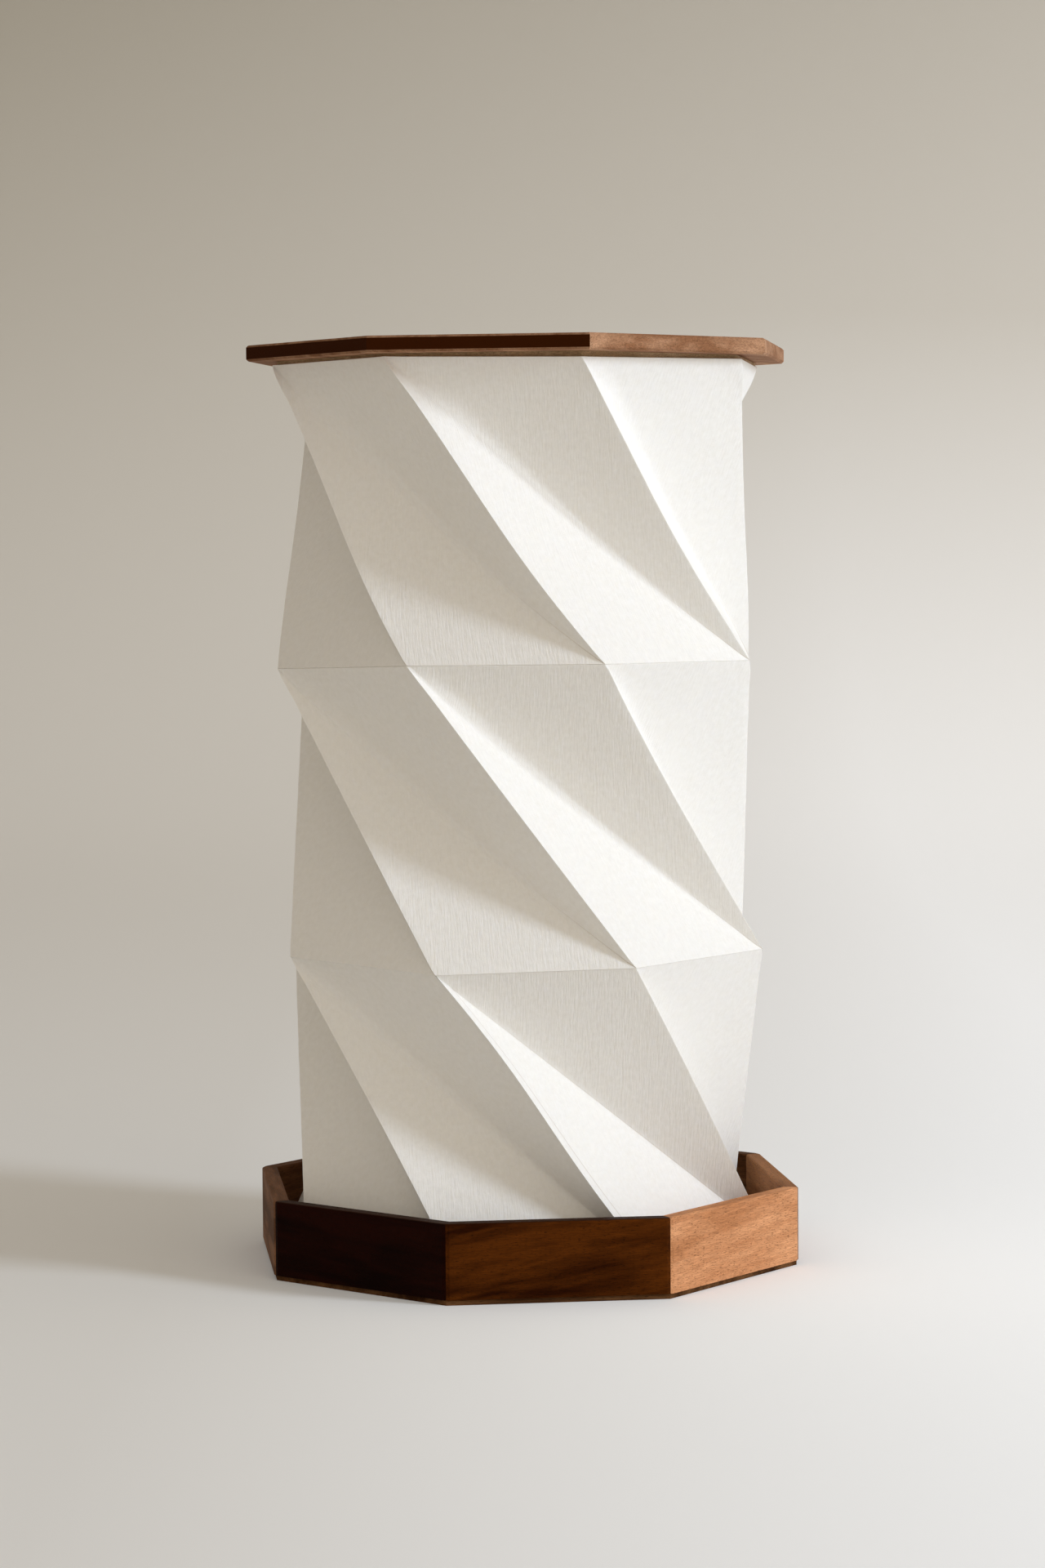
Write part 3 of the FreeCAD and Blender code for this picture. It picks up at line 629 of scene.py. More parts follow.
def brown_and_shaded_valleys(paper, mountain, valley, brown_shade_from, brown_shade_folds):
    """A thin brown line in some valley folds, partly a crease mark and partly painted shade, stronger from
    a way up the tier down to the ring below.
    """
    line = paper.between(paper.maths("PINGPONG", valley, 0.5), *BROWN_AND_SHADE_LINE)
    share = paper.maths("SUBTRACT", valley, mountain)
    line = paper.times(line, paper.between(share, brown_shade_from, 0.0))
    chosen = [paper.maths("COMPARE", valley, fold + 2.0, 0.5) for fold in brown_shade_folds]
    while len(chosen) > 1:
        chosen.append(paper.plus(chosen.pop(0), chosen.pop(0)))
    return paper.times(line, chosen[0])


def tab_edge_shadow(paper, mountain, valley, fold):
    """A thin line beside the tab's edge, on the facet that the tab is glued to: a painted shadow of the
    edge, with its glue.
    """
    away = paper.maths("SUBTRACT", mountain, fold + 1 + TAB_SHARE + TAB_SHADE)
    line = paper.between(paper.maths("ABSOLUTE", away), *TAB_SHADOW_LINE)
    return paper.times(line, paper.maths("LESS_THAN", valley, fold + 2.0))


# %% Paper finish
PAPER_WHITE = (0.86, 0.835, 0.79)
PAPER_CLOUDS = ((0.84, 0.81, 0.755), (0.88, 0.855, 0.81))
PAPER_FELT = (0.90, 0.875, 0.83)
# the pale fold colour is partly wear and partly a painted highlight; the brown fold colour partly a crease
# mark and partly painted shade; the tab's brown a painted shadow beside its edge, with its glue
FOLD_WORN_AND_HIGHLIGHT = (0.93, 0.915, 0.88)
FOLD_BROWN_AND_SHADE = (0.55, 0.45, 0.34)
TAB_GLUE_AND_SHADOW = (0.46, 0.37, 0.29)
PAPER_SCATTER = {
    "Subsurface_Weight": 0.25,
    "Subsurface_Radius": (1.0, 0.85, 0.65),
    "Subsurface_Scale": 0.0012,
}
FIBRES = (1300, 130, 1)  # waves per metre along and across the strip
FELT = (500, 380, 1)
CLOUDS = 16.0
FIBRE_DEPTH = 0.00022
FELT_DEPTH = 0.00008


def paper_finish(name, tier, brown_shade_from, brown_shade_folds=range(SIDES)):
    """White paper with its fibres, its folds' pale lines (wear and painted highlight) and brown lines
    (crease marks and painted shade), and a painted shadow beside its tab's edge.
    """
    paper = Finish(name, PAPER_WHITE, 0.85, Specular_IOR_Level=0.25, **PAPER_SCATTER)
    flat = paper.add("ShaderNodeUVMap", uv_map="flat").outputs["UV"]
    folds = paper.add("ShaderNodeUVMap", uv_map="folds").outputs["UV"]
    fibres = paper.noise(paper.mapped(flat, stretch=FIBRES), 1.0, 3.0, 0.55)
    felt = paper.noise(paper.mapped(flat, stretch=FELT), 1.0, 5.0, 0.65)
    cloud = paper.noise(flat, CLOUDS, 2.0)
    mountain, valley = paper.split(folds)[:2]
    browned_and_shaded = brown_and_shaded_valleys(paper, mountain, valley, brown_shade_from, brown_shade_folds)
    colour = paper.blend(cloud, *PAPER_CLOUDS)
    colour = paper.blend(paper.between(felt, 0.35, 0.65), colour, PAPER_FELT)
    colour = paper.blend(worn_and_highlit_ridges(paper, mountain), colour, FOLD_WORN_AND_HIGHLIGHT)
    colour = paper.blend(browned_and_shaded, colour, FOLD_BROWN_AND_SHADE)
    colour = paper.blend(tab_edge_shadow(paper, mountain, valley, TAB_FOLDS[tier]), colour, TAB_GLUE_AND_SHADOW)
    grain = paper.bump(felt, FELT_DEPTH)
    grain = paper.bump(fibres, FIBRE_DEPTH, after=grain)
    return paper.finish(colour=colour, normal=grain)


papers = (
    paper_finish("paper_lower", 0, 1.2, brown_shade_folds=(0, 3, 5)),
    paper_finish("paper_middle", 1, 0.30),
    paper_finish("paper_upper", 2, 0.30),
)
print("papers:", [paper.name for paper in papers])

# %% Make the three tiers
for tier, name in enumerate(TIER_NAMES):
    bm = folded_strip(tier)
    lay_flat(bm, tier)
    divide(bm)
    crease_valleys(bm, tier)
    crumple(bm, tier)
    sheet = piece(f"paper_tier_{name}", bm, "shade", papers[tier], [f"shade_tier_{name}"])
    thicken(sheet, PAPER_THICKNESS)

# %% [markdown]
# Each strip is closed by a narrow tab that is glued over the next facet, just past a mountain fold.
# The tab of the lower tier is in front, and its edge shows as a fine line beside the fold, with a
# painted shadow beside it. The other two are behind. A tab is the part of its facet within three
# millimetres of the fold. It gets the same UV maps and the same shaping as the facet, so that it lies
# on it, and its thickness outwards.

# %% Glued tabs
TAB_CUTS = 31
TAB_THICKNESS = PAPER_THICKNESS * 0.7


def glued_tab(tier, fold):
    """The flat tab beside a mountain fold, divided and with both UV maps."""
    bm = bmesh.new()
    high = ring_corner(tier + 1, fold)
    low = ring_corner(tier, fold + 1)
    next_low = ring_corner(tier, fold + 2)
    outline = (high, low, low.lerp(next_low, TAB_SHARE), high.lerp(next_low, TAB_SHARE))
    counts = ((1, 1), (1, 0), (1 + TAB_SHARE, 0), (1 + TAB_SHARE, 1 - TAB_SHARE))
    face = bm.faces.new([bm.verts.new(place) for place in outline])
    side, along, width = unroll(tier)
    flat = bm.loops.layers.uv.new("flat")
    folds = bm.loops.layers.uv.new("folds")
    for loop, (mountain, share) in zip(face.loops, counts):
        mountain += fold
        loop[flat].uv = (mountain * side + (along - side) * share, share * width)
        loop[folds].uv = (mountain, mountain + share)
    bmesh.ops.subdivide_edges(bm, edges=bm.edges, cuts=TAB_CUTS, use_grid_fill=True)
    return bm


for tier, fold in TAB_FOLDS.items():
    bm = glued_tab(tier, fold)
    crumple(bm, tier)
    bm.normal_update()
    if sum(face.normal.dot(face.calc_center_median()) for face in bm.faces) < 0:
        bmesh.ops.reverse_faces(bm, faces=bm.faces)
    tab = piece(f"paper_tab_{TIER_NAMES[tier]}", bm, "shade", papers[tier])
    thicken(tab, TAB_THICKNESS, 1.0)

# %% [markdown]
# ## Wood
# The tray, the plate and the inside boards are real wood with an oil finish. Three things make wood
# read as wood: long streaks of darker and lighter fibre, short fine pores along them, and broad
# slow changes of tone. All are noises stretched along the board. Each strip of the tray has its own
# place in the pattern and its own tone, partly the board's own and partly painted light and shade:
# the front strips are dark as if in shade and the front right one is pale as if lit. The plate's end
# grain is darker: partly from the oil it soaks up, partly painted shade. The upper edges of the two
# front strips are paler: painted light where they face up.

# %% Wood finish
WOOD_SHEEN = (1.0, 0.6, 0.35, 1.0)
SEED_STEP = Vector((0.37, 0.11, 0.23))  # from one board's place in the pattern to the next's
FIGURE = (13, 75)  # waves per metre along the grain and across it
STREAKS = (45, 420)
FIBRE_LINES = (170, 2400)
PORES = (560, 4600)
TONE_SHARES = (0.72, 0.28)  # how much the figure and the streaks count
FIBRE_SHADES = (0.72, 1.22)  # of the tone, from the darkest fibre to the lightest
PORE_SHARE = 0.6  # how far a pore turns to its deep tone
PORE_TONE = 0.3  # of the dark tone
FIBRE_RELIEF = 0.00003
PORE_RELIEF = 0.00008


def facing(wood, turn):
    """How far the surface faces along the grain, and how far it faces up."""
    normal = wood.add("ShaderNodeTexCoord").outputs["Normal"]
    along, across, up = wood.split(wood.mapped(normal, turn=turn))
    return wood.maths("ABSOLUTE", along), up


def wood_finish(name, dark, light, turn=0.0, seed=0, gloss=0.6, slope=0.0, length=1.0,
                end_grain_and_shade=None, rim_painted_light=None):
    """Oiled wood whose grain runs along X, once the place is turned about Z."""
    wood = Finish(name, dark, gloss, Specular_IOR_Level=0.05, Specular_Tint=WOOD_SHEEN)

    def stretched(waves, *settings, length=1.0, slope=0.0):
        """A noise drawn out along the grain."""
        stretch = (waves[0] / length, waves[1], waves[1])
        place = wood.mapped(turn=turn, move=SEED_STEP * seed, stretch=stretch, slope=slope)
        return wood.noise(place, 1.0, *settings)

    figure = stretched(FIGURE, 2.0, 0.5, 0.8, length=length, slope=slope)
    streak = stretched(STREAKS, 3.0, 0.5, 0.3, length=length, slope=slope)
    fibre = stretched(FIBRE_LINES, 3.0, 0.6)
    pores = wood.between(stretched(PORES, 1.0, 0.5), 0.39, 0.31)
    tone = wood.plus(wood.times(figure, TONE_SHARES[0]), wood.times(streak, TONE_SHARES[1]))
    colour = wood.blend(wood.between(tone, 0.40, 0.60), dark, light)
    shade = wood.between(fibre, 0.30, 0.70, *FIBRE_SHADES)
    colour = wood.blend(1.0, colour, shade, "MULTIPLY")
    deep = tuple(channel * PORE_TONE for channel in dark)
    colour = wood.blend(wood.times(pores, PORE_SHARE), colour, deep)
    along, up = facing(wood, turn)
    # darker end grain: partly oil soaked in, partly painted shade
    if end_grain_and_shade:
        colour = wood.blend(wood.between(along, 0.55, 0.85), colour, end_grain_and_shade)
    # painted light: paler where the surface faces up
    if rim_painted_light:
        colour = wood.blend(wood.between(up, 0.6, 0.9), colour, rim_painted_light)
    rough = wood.between(fibre, 0.3, 0.7, gloss - 0.08, gloss + 0.12)
    grain = wood.bump(fibre, FIBRE_RELIEF)
    grain = wood.bump(wood.maths("SUBTRACT", 1.0, pores), PORE_RELIEF, after=grain)
    return wood.finish(colour=colour, roughness=rough, normal=grain)


# %% Tray strips
# the strip tones are partly the boards' own and partly painted light and shade: front and front_left dark
# as if in shade, front_right pale as if lit
STRIPS = {  # side of the octagon: (wall, dark tone, light tone)
    0: ("front", (0.021, 0.0036, 0.0002), (0.088, 0.022, 0.0022)),
    1: ("front_right", (0.480, 0.205, 0.088), (0.700, 0.340, 0.166)),
    2: ("right", (0.200, 0.085, 0.036), (0.330, 0.150, 0.068)),
    3: ("rear_right", (0.070, 0.026, 0.010), (0.210, 0.095, 0.040)),
    4: ("rear", (0.180, 0.075, 0.032), (0.320, 0.145, 0.066)),
    5: ("rear_left", (0.075, 0.028, 0.012), (0.150, 0.062, 0.026)),
    6: ("left", (0.110, 0.048, 0.022), (0.260, 0.125, 0.066)),
    7: ("front_left", (0.0035, 0.0004, 0.0004), (0.014, 0.002, 0.001)),
}
GRAIN_SLOPES = {0: degrees(9.0), 1: degrees(3.0), 7: degrees(-4.0)}  # where it isn't level
RIM_PAINTED_LIGHT_TONES = {0: (0.030, 0.010, 0.004), 7: (0.032, 0.013, 0.008)}  # of an upper edge, painted light where it faces up
for side, (wall, dark, light) in STRIPS.items():
    strip_wood = wood_finish(f"oiled_wood_strip_{side}", dark, light, -side * TURN, side + 1,
                             slope=GRAIN_SLOPES.get(side, 0.0), rim_painted_light=RIM_PAINTED_LIGHT_TONES.get(side))
    dress(f"tray_wall_{wall}", strip_wood)
print("tray strips:", len(STRIPS))

# %% Boards, frames and dowels
PLATE_GRAIN = degrees(128.0)
# the plate's end grain: partly its oiled tone, partly painted shade on the faces it darkens
PLATE_END_GRAIN_AND_SHADE = (0.034, 0.0072, 0.0008)
BOARDS = {  # finish: (nodes, dark tone, light tone, seed, gloss)
    "sawn_base_board": (["base_board"], (0.035, 0.012, 0.004), (0.150, 0.070, 0.028), 12, 0.75),
    "floor_board": (["tray_floor"], (0.20, 0.105, 0.05), (0.33, 0.19, 0.10), 13, 0.65),
    "pale_frame_wood": (["shade_bottom_frame", "shade_top_frame"],
                        (0.44, 0.29, 0.16), (0.62, 0.44, 0.27), 14, 0.7),
    "beech_dowels": (["locating_dowels"], (0.50, 0.34, 0.19), (0.66, 0.48, 0.29), 15, 0.65),
}
plate_wood = wood_finish("plate_board", (0.27, 0.125, 0.062), (0.49, 0.275, 0.160), PLATE_GRAIN, 14,
                         length=1.8, end_grain_and_shade=PLATE_END_GRAIN_AND_SHADE)
dress("top_plate", plate_wood)
for name, (board_nodes, dark, light, seed, gloss) in BOARDS.items():
    board_wood = wood_finish(name, dark, light, seed=seed, gloss=gloss)
    for node in board_nodes:
        dress(node, board_wood)
print("boards:", ["plate_board", *BOARDS])

# %% [markdown]
# ## Lampholder and bulb
# These pieces show when the shade is lifted off. Nearly all of them are turned shapes: the outline of
# one half is drawn in the XZ plane, its corners are rounded, and the outline is spun about the lamp's
# axis. Levels are taken from the frame's solids, so each piece sits where its solid is.

# %% Helpers for turned pieces
SPIN_STEPS = 96
ROUNDING_CUTS = 4
ARC_STEPS = 48


def levels(node):
    """The lowest and highest level of a solid, in millimetres."""
    low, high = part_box(node)
    return low[2] / MM, high[2] / MM


def arc(radius, middle, start, end):
    """Points of an outline along an arc centred on the axis, from one latitude to another."""
    turns = [degrees(start + (end - start) * step / ARC_STEPS) for step in range(ARC_STEPS + 1)]
    return [(radius * math.cos(turn), middle + radius * math.sin(turn)) for turn in turns]


def turned(outline, rise=0.0):
    """Spin a closed outline of (radius, level, rounding) in millimetres about the axis."""
    bm = bmesh.new()
    corners = [(*corner, 0.0)[:3] for corner in outline]
    verts = [bm.verts.new((radius * MM, 0, (level + rise) * MM)) for radius, level, rounding in corners]
    bm.faces.new(verts)
    for vert, (radius, level, rounding) in zip(verts, corners):
        if rounding:
            bmesh.ops.bevel(bm, geom=[vert], offset=rounding * MM, offset_type="OFFSET", affect="VERTICES",
                            segments=ROUNDING_CUTS, profile=0.5, material=-1, clamp_overlap=True)
    bmesh.ops.delete(bm, geom=bm.faces[:], context="FACES_ONLY")
    inner = [edge for edge in bm.edges if all(abs(vert.co.x) < 1e-7 for vert in edge.verts)]
    bmesh.ops.delete(bm, geom=inner, context="EDGES")
    bmesh.ops.spin(bm, geom=bm.verts[:] + bm.edges[:], cent=(0, 0, 0), axis=(0, 0, 1), dvec=(0, 0, 0),
                   angle=math.tau, steps=SPIN_STEPS, use_merge=True, use_duplicate=False)
    bmesh.ops.remove_doubles(bm, verts=bm.verts, dist=1e-6)
    bmesh.ops.dissolve_degenerate(bm, dist=1e-7, edges=bm.edges)
    bmesh.ops.recalc_face_normals(bm, faces=bm.faces)
    return bm


def crisp_piece(name, bm, body, material, solid, angle=35.0):
    """A piece in place of one solid, with its sharp corners kept crisp."""
    item = piece(name, bm, body, material, [solid])
    item.data.set_sharp_from_angle(angle=degrees(angle))
    return item


# %% [markdown]
# ## Plastic, metal and glass
# Moulded plastic is never quite flat: it has a faint orange-peel ripple, which breaks up its gloss.
# Thin rolled metal is bright on its crests and duller where it is handled. So each finish below
# starts from one colour and gets a small noise in its roughness and a shallow bump.

# %% Finishes of the small pieces
def moulded(name, colour, roughness, ripple=0.000012, grain=900.0, **shader):
    """Moulded plastic, rubber or glass: one colour with a faint ripple."""
    plastic = Finish(name, colour, roughness, **shader)
    peel = plastic.noise(plastic.place, grain, 2.0, 0.5)
    cloud = plastic.noise(plastic.place, 70.0, 3.0, 0.55)
    darker = tuple(channel * 0.93 for channel in colour)
    tone = plastic.blend(plastic.between(cloud, 0.35, 0.65), darker, colour)
    rough = plastic.between(cloud, 0.35, 0.65, roughness - 0.05, roughness + 0.07)
    return plastic.finish(colour=tone, roughness=rough, normal=plastic.bump(peel, ripple))


def metal(name, colour, roughness, tarnish, stretch=(90, 90, 1400)):
    """Drawn or rolled metal: fine lines round it, and a duller tone in patches."""
    plate = Finish(name, colour, roughness, Metallic=1.0)
    lines = plate.noise(plate.mapped(stretch=stretch), 1.0, 3.0, 0.6)
    patch = plate.noise(plate.place, 160.0, 4.0, 0.6)
    tone = plate.blend(plate.between(patch, 0.42, 0.68), colour, tarnish)
    line_rough = plate.between(lines, 0.3, 0.7, roughness - 0.06, roughness + 0.08)
    rough = plate.plus(line_rough, plate.between(patch, 0.42, 0.68, 0.0, 0.14))
    return plate.finish(colour=tone, roughness=rough, normal=plate.bump(lines, 0.000006))


OPAL_SCATTER = {
    "Subsurface_Weight": 0.4,
    "Subsurface_Radius": (1.0, 0.95, 0.85),
    "Subsurface_Scale": 0.002,
}
holder_plastic = moulded("holder_cream_plastic", (0.80, 0.785, 0.73), 0.38)
holder_ceramic = moulded("holder_glazed_ceramic", (0.84, 0.83, 0.79), 0.18, 0.00002, 400.0)
bulb_plastic = moulded("bulb_white_plastic", (0.82, 0.82, 0.80), 0.36)
bulb_opal = moulded("bulb_opal_globe", (0.86, 0.855, 0.83), 0.42, 0.000006, 1600.0, **OPAL_SCATTER)
black_glass = moulded("bulb_black_glass", (0.012, 0.012, 0.016), 0.12, 0.00002, 300.0)
rubber = moulded("bushing_rubber", (0.030, 0.020, 0.015), 0.62, 0.00003, 700.0)
coated_board = moulded("led_board_white_coating", (0.80, 0.80, 0.77), 0.3)
green_board = moulded("driver_board_green", (0.020, 0.115, 0.050), 0.35)
phosphor = moulded("led_phosphor", (0.80, 0.60, 0.08), 0.45)
brass = metal("brass", (0.74, 0.53, 0.23), 0.27, (0.44, 0.27, 0.10))
steel = metal("zinc_plated_steel", (0.58, 0.585, 0.59), 0.33, (0.40, 0.39, 0.37))
cap_metal = metal("bulb_cap_metal", (0.74, 0.74, 0.72), 0.24, (0.52, 0.51, 0.48))
solder = metal("solder", (0.66, 0.66, 0.64), 0.34, (0.42, 0.41, 0.39), (700, 700, 700))

# %% [markdown]
# The lampholder is a domed cap screwed onto the nipple, with a skirt fitted into it. The skirt has a
# band of fine ribs to grip it by. The ribs are the spun surface moved in and out as it goes round.

# %% Lampholder cap and skirt
GRIP_RIBS = 32
GRIP_DEPTH = 0.35
GRIP_FOOT, GRIP_TOP = 3.0, 13.0  # of the ribbed band, up from the skirt's rim
GRIP_ENDS = 1.0  # over which the ribs run out
GRIP_STEPS = 12
HOLDER_RADIUS = 19.5
HOLDER_BORE = 17.5
NECK_RADIUS, NECK_HEIGHT = 8.0, 7.0
NIPPLE_BORE = 5.0
SEAT_DEPTH = 5.0  # of the skirt's seat, down from the cap's rim
SPIGOT_RADIUS = 17.4  # of the skirt's end, which stands in that seat
SKIRT_BORE, SKIRT_WIDE_BORE = 15.4, 16.4  # at its two ends, and between them
SKIRT_LIP = 2.0

cap_foot, cap_top = levels("lampholder_cap")
skirt_foot, skirt_top = levels("lampholder_skirt")
cap_height = cap_top - cap_foot
cap_outline = (
    (NIPPLE_BORE, 0.0), (NECK_RADIUS, 0.0, 0.7), (NECK_RADIUS, NECK_HEIGHT, 1.6),
    (HOLDER_RADIUS, cap_height - 6.0, 5.0), (HOLDER_RADIUS, cap_height, 0.5),
    (HOLDER_BORE, cap_height, 0.2), (HOLDER_BORE, cap_height - SEAT_DEPTH),
    (15.5, cap_height - SEAT_DEPTH), (7.0, 9.0, 1.0), (NIPPLE_BORE, 9.0))
crisp_piece("lampholder_domed_cap", turned(cap_outline, cap_foot), "tray",
            holder_plastic, "lampholder_cap")

skirt_rise = cap_top  # the skirt's rim stands on the cap's
spigot = skirt_foot - cap_top
skirt_height = skirt_top - cap_top
grip_rise = (GRIP_TOP - GRIP_FOOT) / GRIP_STEPS
grip_points = [(HOLDER_RADIUS, GRIP_FOOT + grip_rise * step) for step in range(GRIP_STEPS + 1)]
skirt_outline = (
    (SKIRT_BORE, spigot), (SPIGOT_RADIUS, spigot, 0.3), (SPIGOT_RADIUS, 0.0),
    (HOLDER_RADIUS, 0.0, 0.5), *grip_points, (HOLDER_RADIUS, skirt_height, 1.0),
    (SKIRT_BORE, skirt_height, 1.2), (SKIRT_BORE, skirt_height - SKIRT_LIP),
    (SKIRT_WIDE_BORE, skirt_height - SKIRT_LIP), (SKIRT_WIDE_BORE, 0.0), (SKIRT_BORE, 0.0))


def ribbed_skirt():
    """The turned skirt with its grip pressed in between the ribs."""
    bm = turned(skirt_outline, skirt_rise)
    for vert in bm.verts:
        reach = math.hypot(vert.co.x, vert.co.y) / MM
        level = vert.co.z / MM - skirt_rise
        ends = min(level - GRIP_FOOT, GRIP_TOP - level) / GRIP_ENDS
        if reach > HOLDER_RADIUS - 0.01 and ends > 0:
            wave = 0.5 - 0.5 * math.cos(GRIP_RIBS * math.atan2(vert.co.y, vert.co.x))
            narrow(vert, 1 - GRIP_DEPTH * wave * min(ends, 1.0) / reach)
    return bm


crisp_piece("lampholder_ribbed_skirt", ribbed_skirt(), "tray", holder_plastic,
            "lampholder_skirt", 50.0)

# %% [markdown]
# The bulb's cap and the shell that it screws into are thin metal with a rolled thread: the metal
# waves in and out along its length, and the wave climbs by one pitch for each turn. Each starts as an
# open sleeve whose upright edges are cut into rings, and each point is then moved to the thread's radius.

# %% Rolled threads
PITCH = 3.6
SLEEVE_RINGS = 110


def rolled_sleeve(foot, top, radius_at):
    """An open sleeve whose radius, in millimetres, is given by its level and its turn."""
    bm = bmesh.new()
    bmesh.ops.create_cone(bm, cap_ends=False, segments=SPIN_STEPS, radius1=MM, radius2=MM,
                          depth=(top - foot) * MM)
    upright_edges = [edge for edge in bm.edges if abs(edge.verts[0].co.z - edge.verts[1].co.z) > MM]
    bmesh.ops.subdivide_edges(bm, edges=upright_edges, cuts=SLEEVE_RINGS, use_grid_fill=True)
    bmesh.ops.translate(bm, vec=(0, 0, (foot + top) / 2 * MM), verts=bm.verts)
    for vert in bm.verts:
        angle = math.atan2(vert.co.y, vert.co.x)
        radius = radius_at(vert.co.z / MM, angle) * MM
        vert.co.x = radius * math.cos(angle)
        vert.co.y = radius * math.sin(angle)
    bmesh.ops.recalc_face_normals(bm, faces=bm.faces)
    return bm


def turn_in(bm, level, radius):
    """Run the open end at a level in to a smaller radius."""
    rim = [edge for edge in bm.edges if edge.is_boundary and abs(edge.verts[0].co.z / MM - level) < 0.1]
    for vert in extrude(bm, rim):
        narrow(vert, radius * MM / math.hypot(vert.co.x, vert.co.y))
    bmesh.ops.recalc_face_normals(bm, faces=bm.faces)


def thread_wave(level, angle):
    """From 0 in the thread's root to 1 on its crest."""
    return 0.5 + 0.5 * math.cos(math.tau * level / PITCH - angle)


# %% Screw cap and screw shell
CAP_ROOT, CAP_CREST = 12.2, 13.0
CAP_COLLAR = 3.4  # plain ring at the cap's top, crimped to the housing
COLLAR_RUN = 1.0  # over which the thread runs out into it
CAP_RUN_IN = 1.2  # over which the thread starts at the cap's foot
CAP_MOUTH = 11.4  # radius at its foot, round the insulator
CAP_WALL = 0.25 * MM
CRIMPS = 8
CRIMP_DEPTH = 0.45
CRIMP_RISE = 0.3  # of a crimp over the collar's middle
CRIMP_SPREAD = 0.35  # square mm
SHELL_ROOT, SHELL_CREST = 13.5, 13.15  # seen from inside, the shell's thread stands inwards
SHELL_LIP = 1.5  # plain ring at the shell's top
LIP_RUN = 0.8
SHELL_MOUTH = 8.0
SHELL_WALL = 0.3 * MM

screw_foot, screw_top = levels("bulb_screw_cap")
shell_foot, shell_top = levels("lampholder_screw_shell")


def cap_radius(level, angle):
    """The bulb cap's thread, its plain collar, and the crimps round that."""
    collar = min(max((level - (screw_top - CAP_COLLAR)) / COLLAR_RUN, 0.0), 1.0)
    foot = min((level - screw_foot) / CAP_RUN_IN, 1.0)
    radius = CAP_ROOT + (CAP_CREST - CAP_ROOT) * thread_wave(level, angle) * foot
    radius += (CAP_CREST - radius) * collar
    across = abs((angle / math.tau * CRIMPS) % 1.0 - 0.5) * math.tau / CRIMPS * CAP_CREST
    along = level - (screw_top - CAP_COLLAR / 2 + CRIMP_RISE)
    return radius - CRIMP_DEPTH * math.exp(-(across ** 2 + along ** 2) / CRIMP_SPREAD)


def shell_radius(level, angle):
    """The shell's thread, which runs out into a plain lip."""
    lip = min(max((level - (shell_top - SHELL_LIP)) / LIP_RUN, 0.0), 1.0)
    depth = (SHELL_ROOT - SHELL_CREST) * (1 - lip)
    return SHELL_ROOT - depth * (1 - thread_wave(level, angle))


bm = rolled_sleeve(screw_foot, screw_top, cap_radius)
turn_in(bm, screw_foot, CAP_MOUTH)
screw_cap = crisp_piece("bulb_threaded_cap", bm, "bulb", cap_metal, "bulb_screw_cap")
thicken(screw_cap, CAP_WALL)

bm = rolled_sleeve(shell_foot, shell_top, shell_radius)
turn_in(bm, shell_foot, SHELL_MOUTH)
screw_shell = crisp_piece("lampholder_threaded_shell", bm, "tray", brass, "lampholder_screw_shell")
thicken(screw_shell, SHELL_WALL, 1.0)

# %% [markdown]
# The bulb is a white plastic housing under an opal globe, on its screw cap. The globe is a sphere cut
# off below its widest ring. Both are shells with real walls, and a fine groove is left where they meet.

# %% Housing and globe
GLOBE_RADIUS = 30.0
GLOBE_WALL = 1.2
GLOBE_LATITUDE = 35.0  # where it is cut off, below its widest ring
GROOVE = 0.35  # rounding of its foot, which leaves the groove
HOUSING_FLOOR = 3.0
HOUSING_HEIGHT = 35.0
HOUSING_WALL = 1.6  # at its rim
NECK_OUTSIDE, NECK_INSIDE = 13.5, 11.9  # at its lower end
LEDGE_RADIUS, LEDGE_LEVEL = 19.0, 31.8  # inside its rim

housing_foot = levels("bulb_housing")[0]
globe_foot, globe_top = levels("bulb_globe")
rim_radius = GLOBE_RADIUS * math.cos(degrees(GLOBE_LATITUDE))
rim_inside = rim_radius - HOUSING_WALL
housing_outline = (
    (0.0, 0.0), (NECK_OUTSIDE, 0.0, 0.5), (NECK_OUTSIDE, HOUSING_FLOOR, 0.8),
    (rim_radius - 3.0, 23.0, 7.0), (rim_radius, 32.6, 2.0), (rim_radius, HOUSING_HEIGHT, 0.4),
    (rim_inside, HOUSING_HEIGHT), (rim_inside, LEDGE_LEVEL), (LEDGE_RADIUS, LEDGE_LEVEL),
    (NECK_INSIDE, HOUSING_FLOOR), (0.0, HOUSING_FLOOR))
crisp_piece("bulb_smooth_housing", turned(housing_outline, housing_foot), "bulb",
            bulb_plastic, "bulb_housing")

globe_middle = globe_top - GLOBE_RADIUS
inner_radius = GLOBE_RADIUS - GLOBE_WALL
inner_latitude = math.degrees(math.asin((globe_middle - globe_foot) / inner_radius))
outer_arc = arc(GLOBE_RADIUS, globe_middle, -GLOBE_LATITUDE, 90.0)
inner_arc = arc(inner_radius, globe_middle, 90.0, -inner_latitude)
foot_corner = (*outer_arc[0], GROOVE)
crisp_piece("bulb_opal_globe", turned((foot_corner, *outer_arc[1:], *inner_arc)), "bulb",
            bulb_opal, "bulb_globe")

# %% Insulator and tip
TIP_RADIUS = 4.8

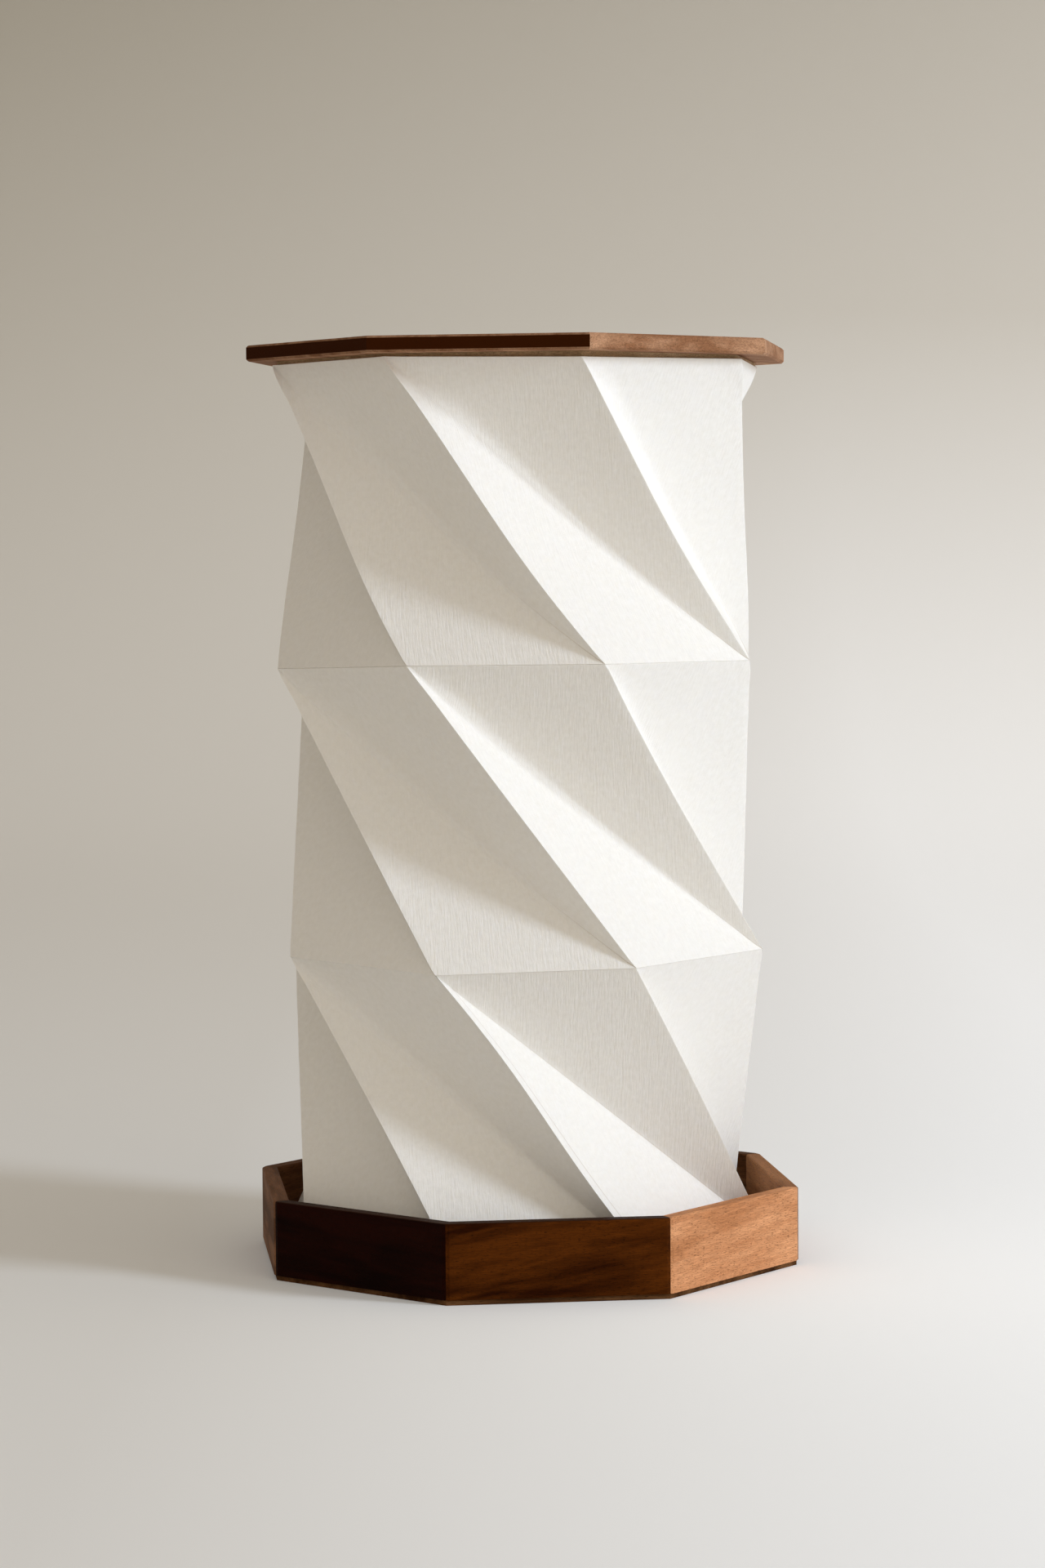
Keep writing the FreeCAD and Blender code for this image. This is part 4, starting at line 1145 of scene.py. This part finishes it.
glass_foot, glass_top = levels("bulb_insulator")
glass_outline = (
    (0.0, glass_foot), (TIP_RADIUS, glass_foot, 0.2), (9.3, glass_foot + 2.0, 1.5),
    (CAP_MOUTH, glass_top - 0.6, 0.5), (CAP_MOUTH, glass_top), (0.0, glass_top))
crisp_piece("bulb_glass_insulator", turned(glass_outline), "bulb", black_glass,
            "bulb_insulator")

tip_foot, tip_top = levels("bulb_tip_contact")
tip_outline = (
    (0.0, tip_foot), (3.2, tip_foot, 0.9), (TIP_RADIUS, tip_top - 0.3, 0.3), (TIP_RADIUS, tip_top),
    (0.0, tip_top))
crisp_piece("bulb_solder_tip", turned(tip_outline), "bulb", solder, "bulb_tip_contact")

# %% [markdown]
# The lead comes in through a rubber bushing in the rear wall. It is turned like the rest, then laid
# down to face backwards.

# %% Lead bushing
LEAD_BORE = 2.6
WALL_BORE = 3.8  # of the hole that the bushing stands in
FLANGE_RADIUS, FLANGE_FOOT, FLANGE_TOP = 4.7, 6.0, 7.5

bushing_low, bushing_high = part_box("lead_bushing")
bushing_outline = (
    (LEAD_BORE, 0.0, 0.4), (WALL_BORE, 0.0, 0.3), (WALL_BORE, FLANGE_FOOT),
    (FLANGE_RADIUS, FLANGE_FOOT, 0.2), (FLANGE_RADIUS, FLANGE_TOP, 0.6), (LEAD_BORE, FLANGE_TOP, 0.6))
bm = turned(bushing_outline)
rotate(bm, degrees(-90), bm.verts, "X")
bushing_level = (bushing_low[2] + bushing_high[2]) / 2
bmesh.ops.translate(bm, vec=(0, bushing_low[1], bushing_level), verts=bm.verts)
crisp_piece("lead_bushing_rounded", bm, "tray", rubber, "lead_bushing")

# %% [markdown]
# The solids whose shape is right as it is keep it, and get their finish here.

# %% Dress the small solids
SMALL_SOLIDS = {
    "base_screws": steel, "top_frame_screws": steel, "cap_grub_screw": steel,
    "nipple_washer": steel, "threaded_nipple": brass, "nipple_lower_nut": brass, "nipple_upper_nut": brass,
    "terminal_screws": brass, "lampholder_centre_contact": brass, "lampholder_insulator": holder_ceramic,
    "bulb_driver_board": green_board, "led_board": coated_board, "led_chips": phosphor,
}
for node, material in SMALL_SOLIDS.items():
    dress(node, material)
left_over = [node for node in nodes if nodes[node].data.materials[0].name in frame_finishes]
print("solids still in their plain finish:", [node for node in left_over if not nodes[node].hide_render])
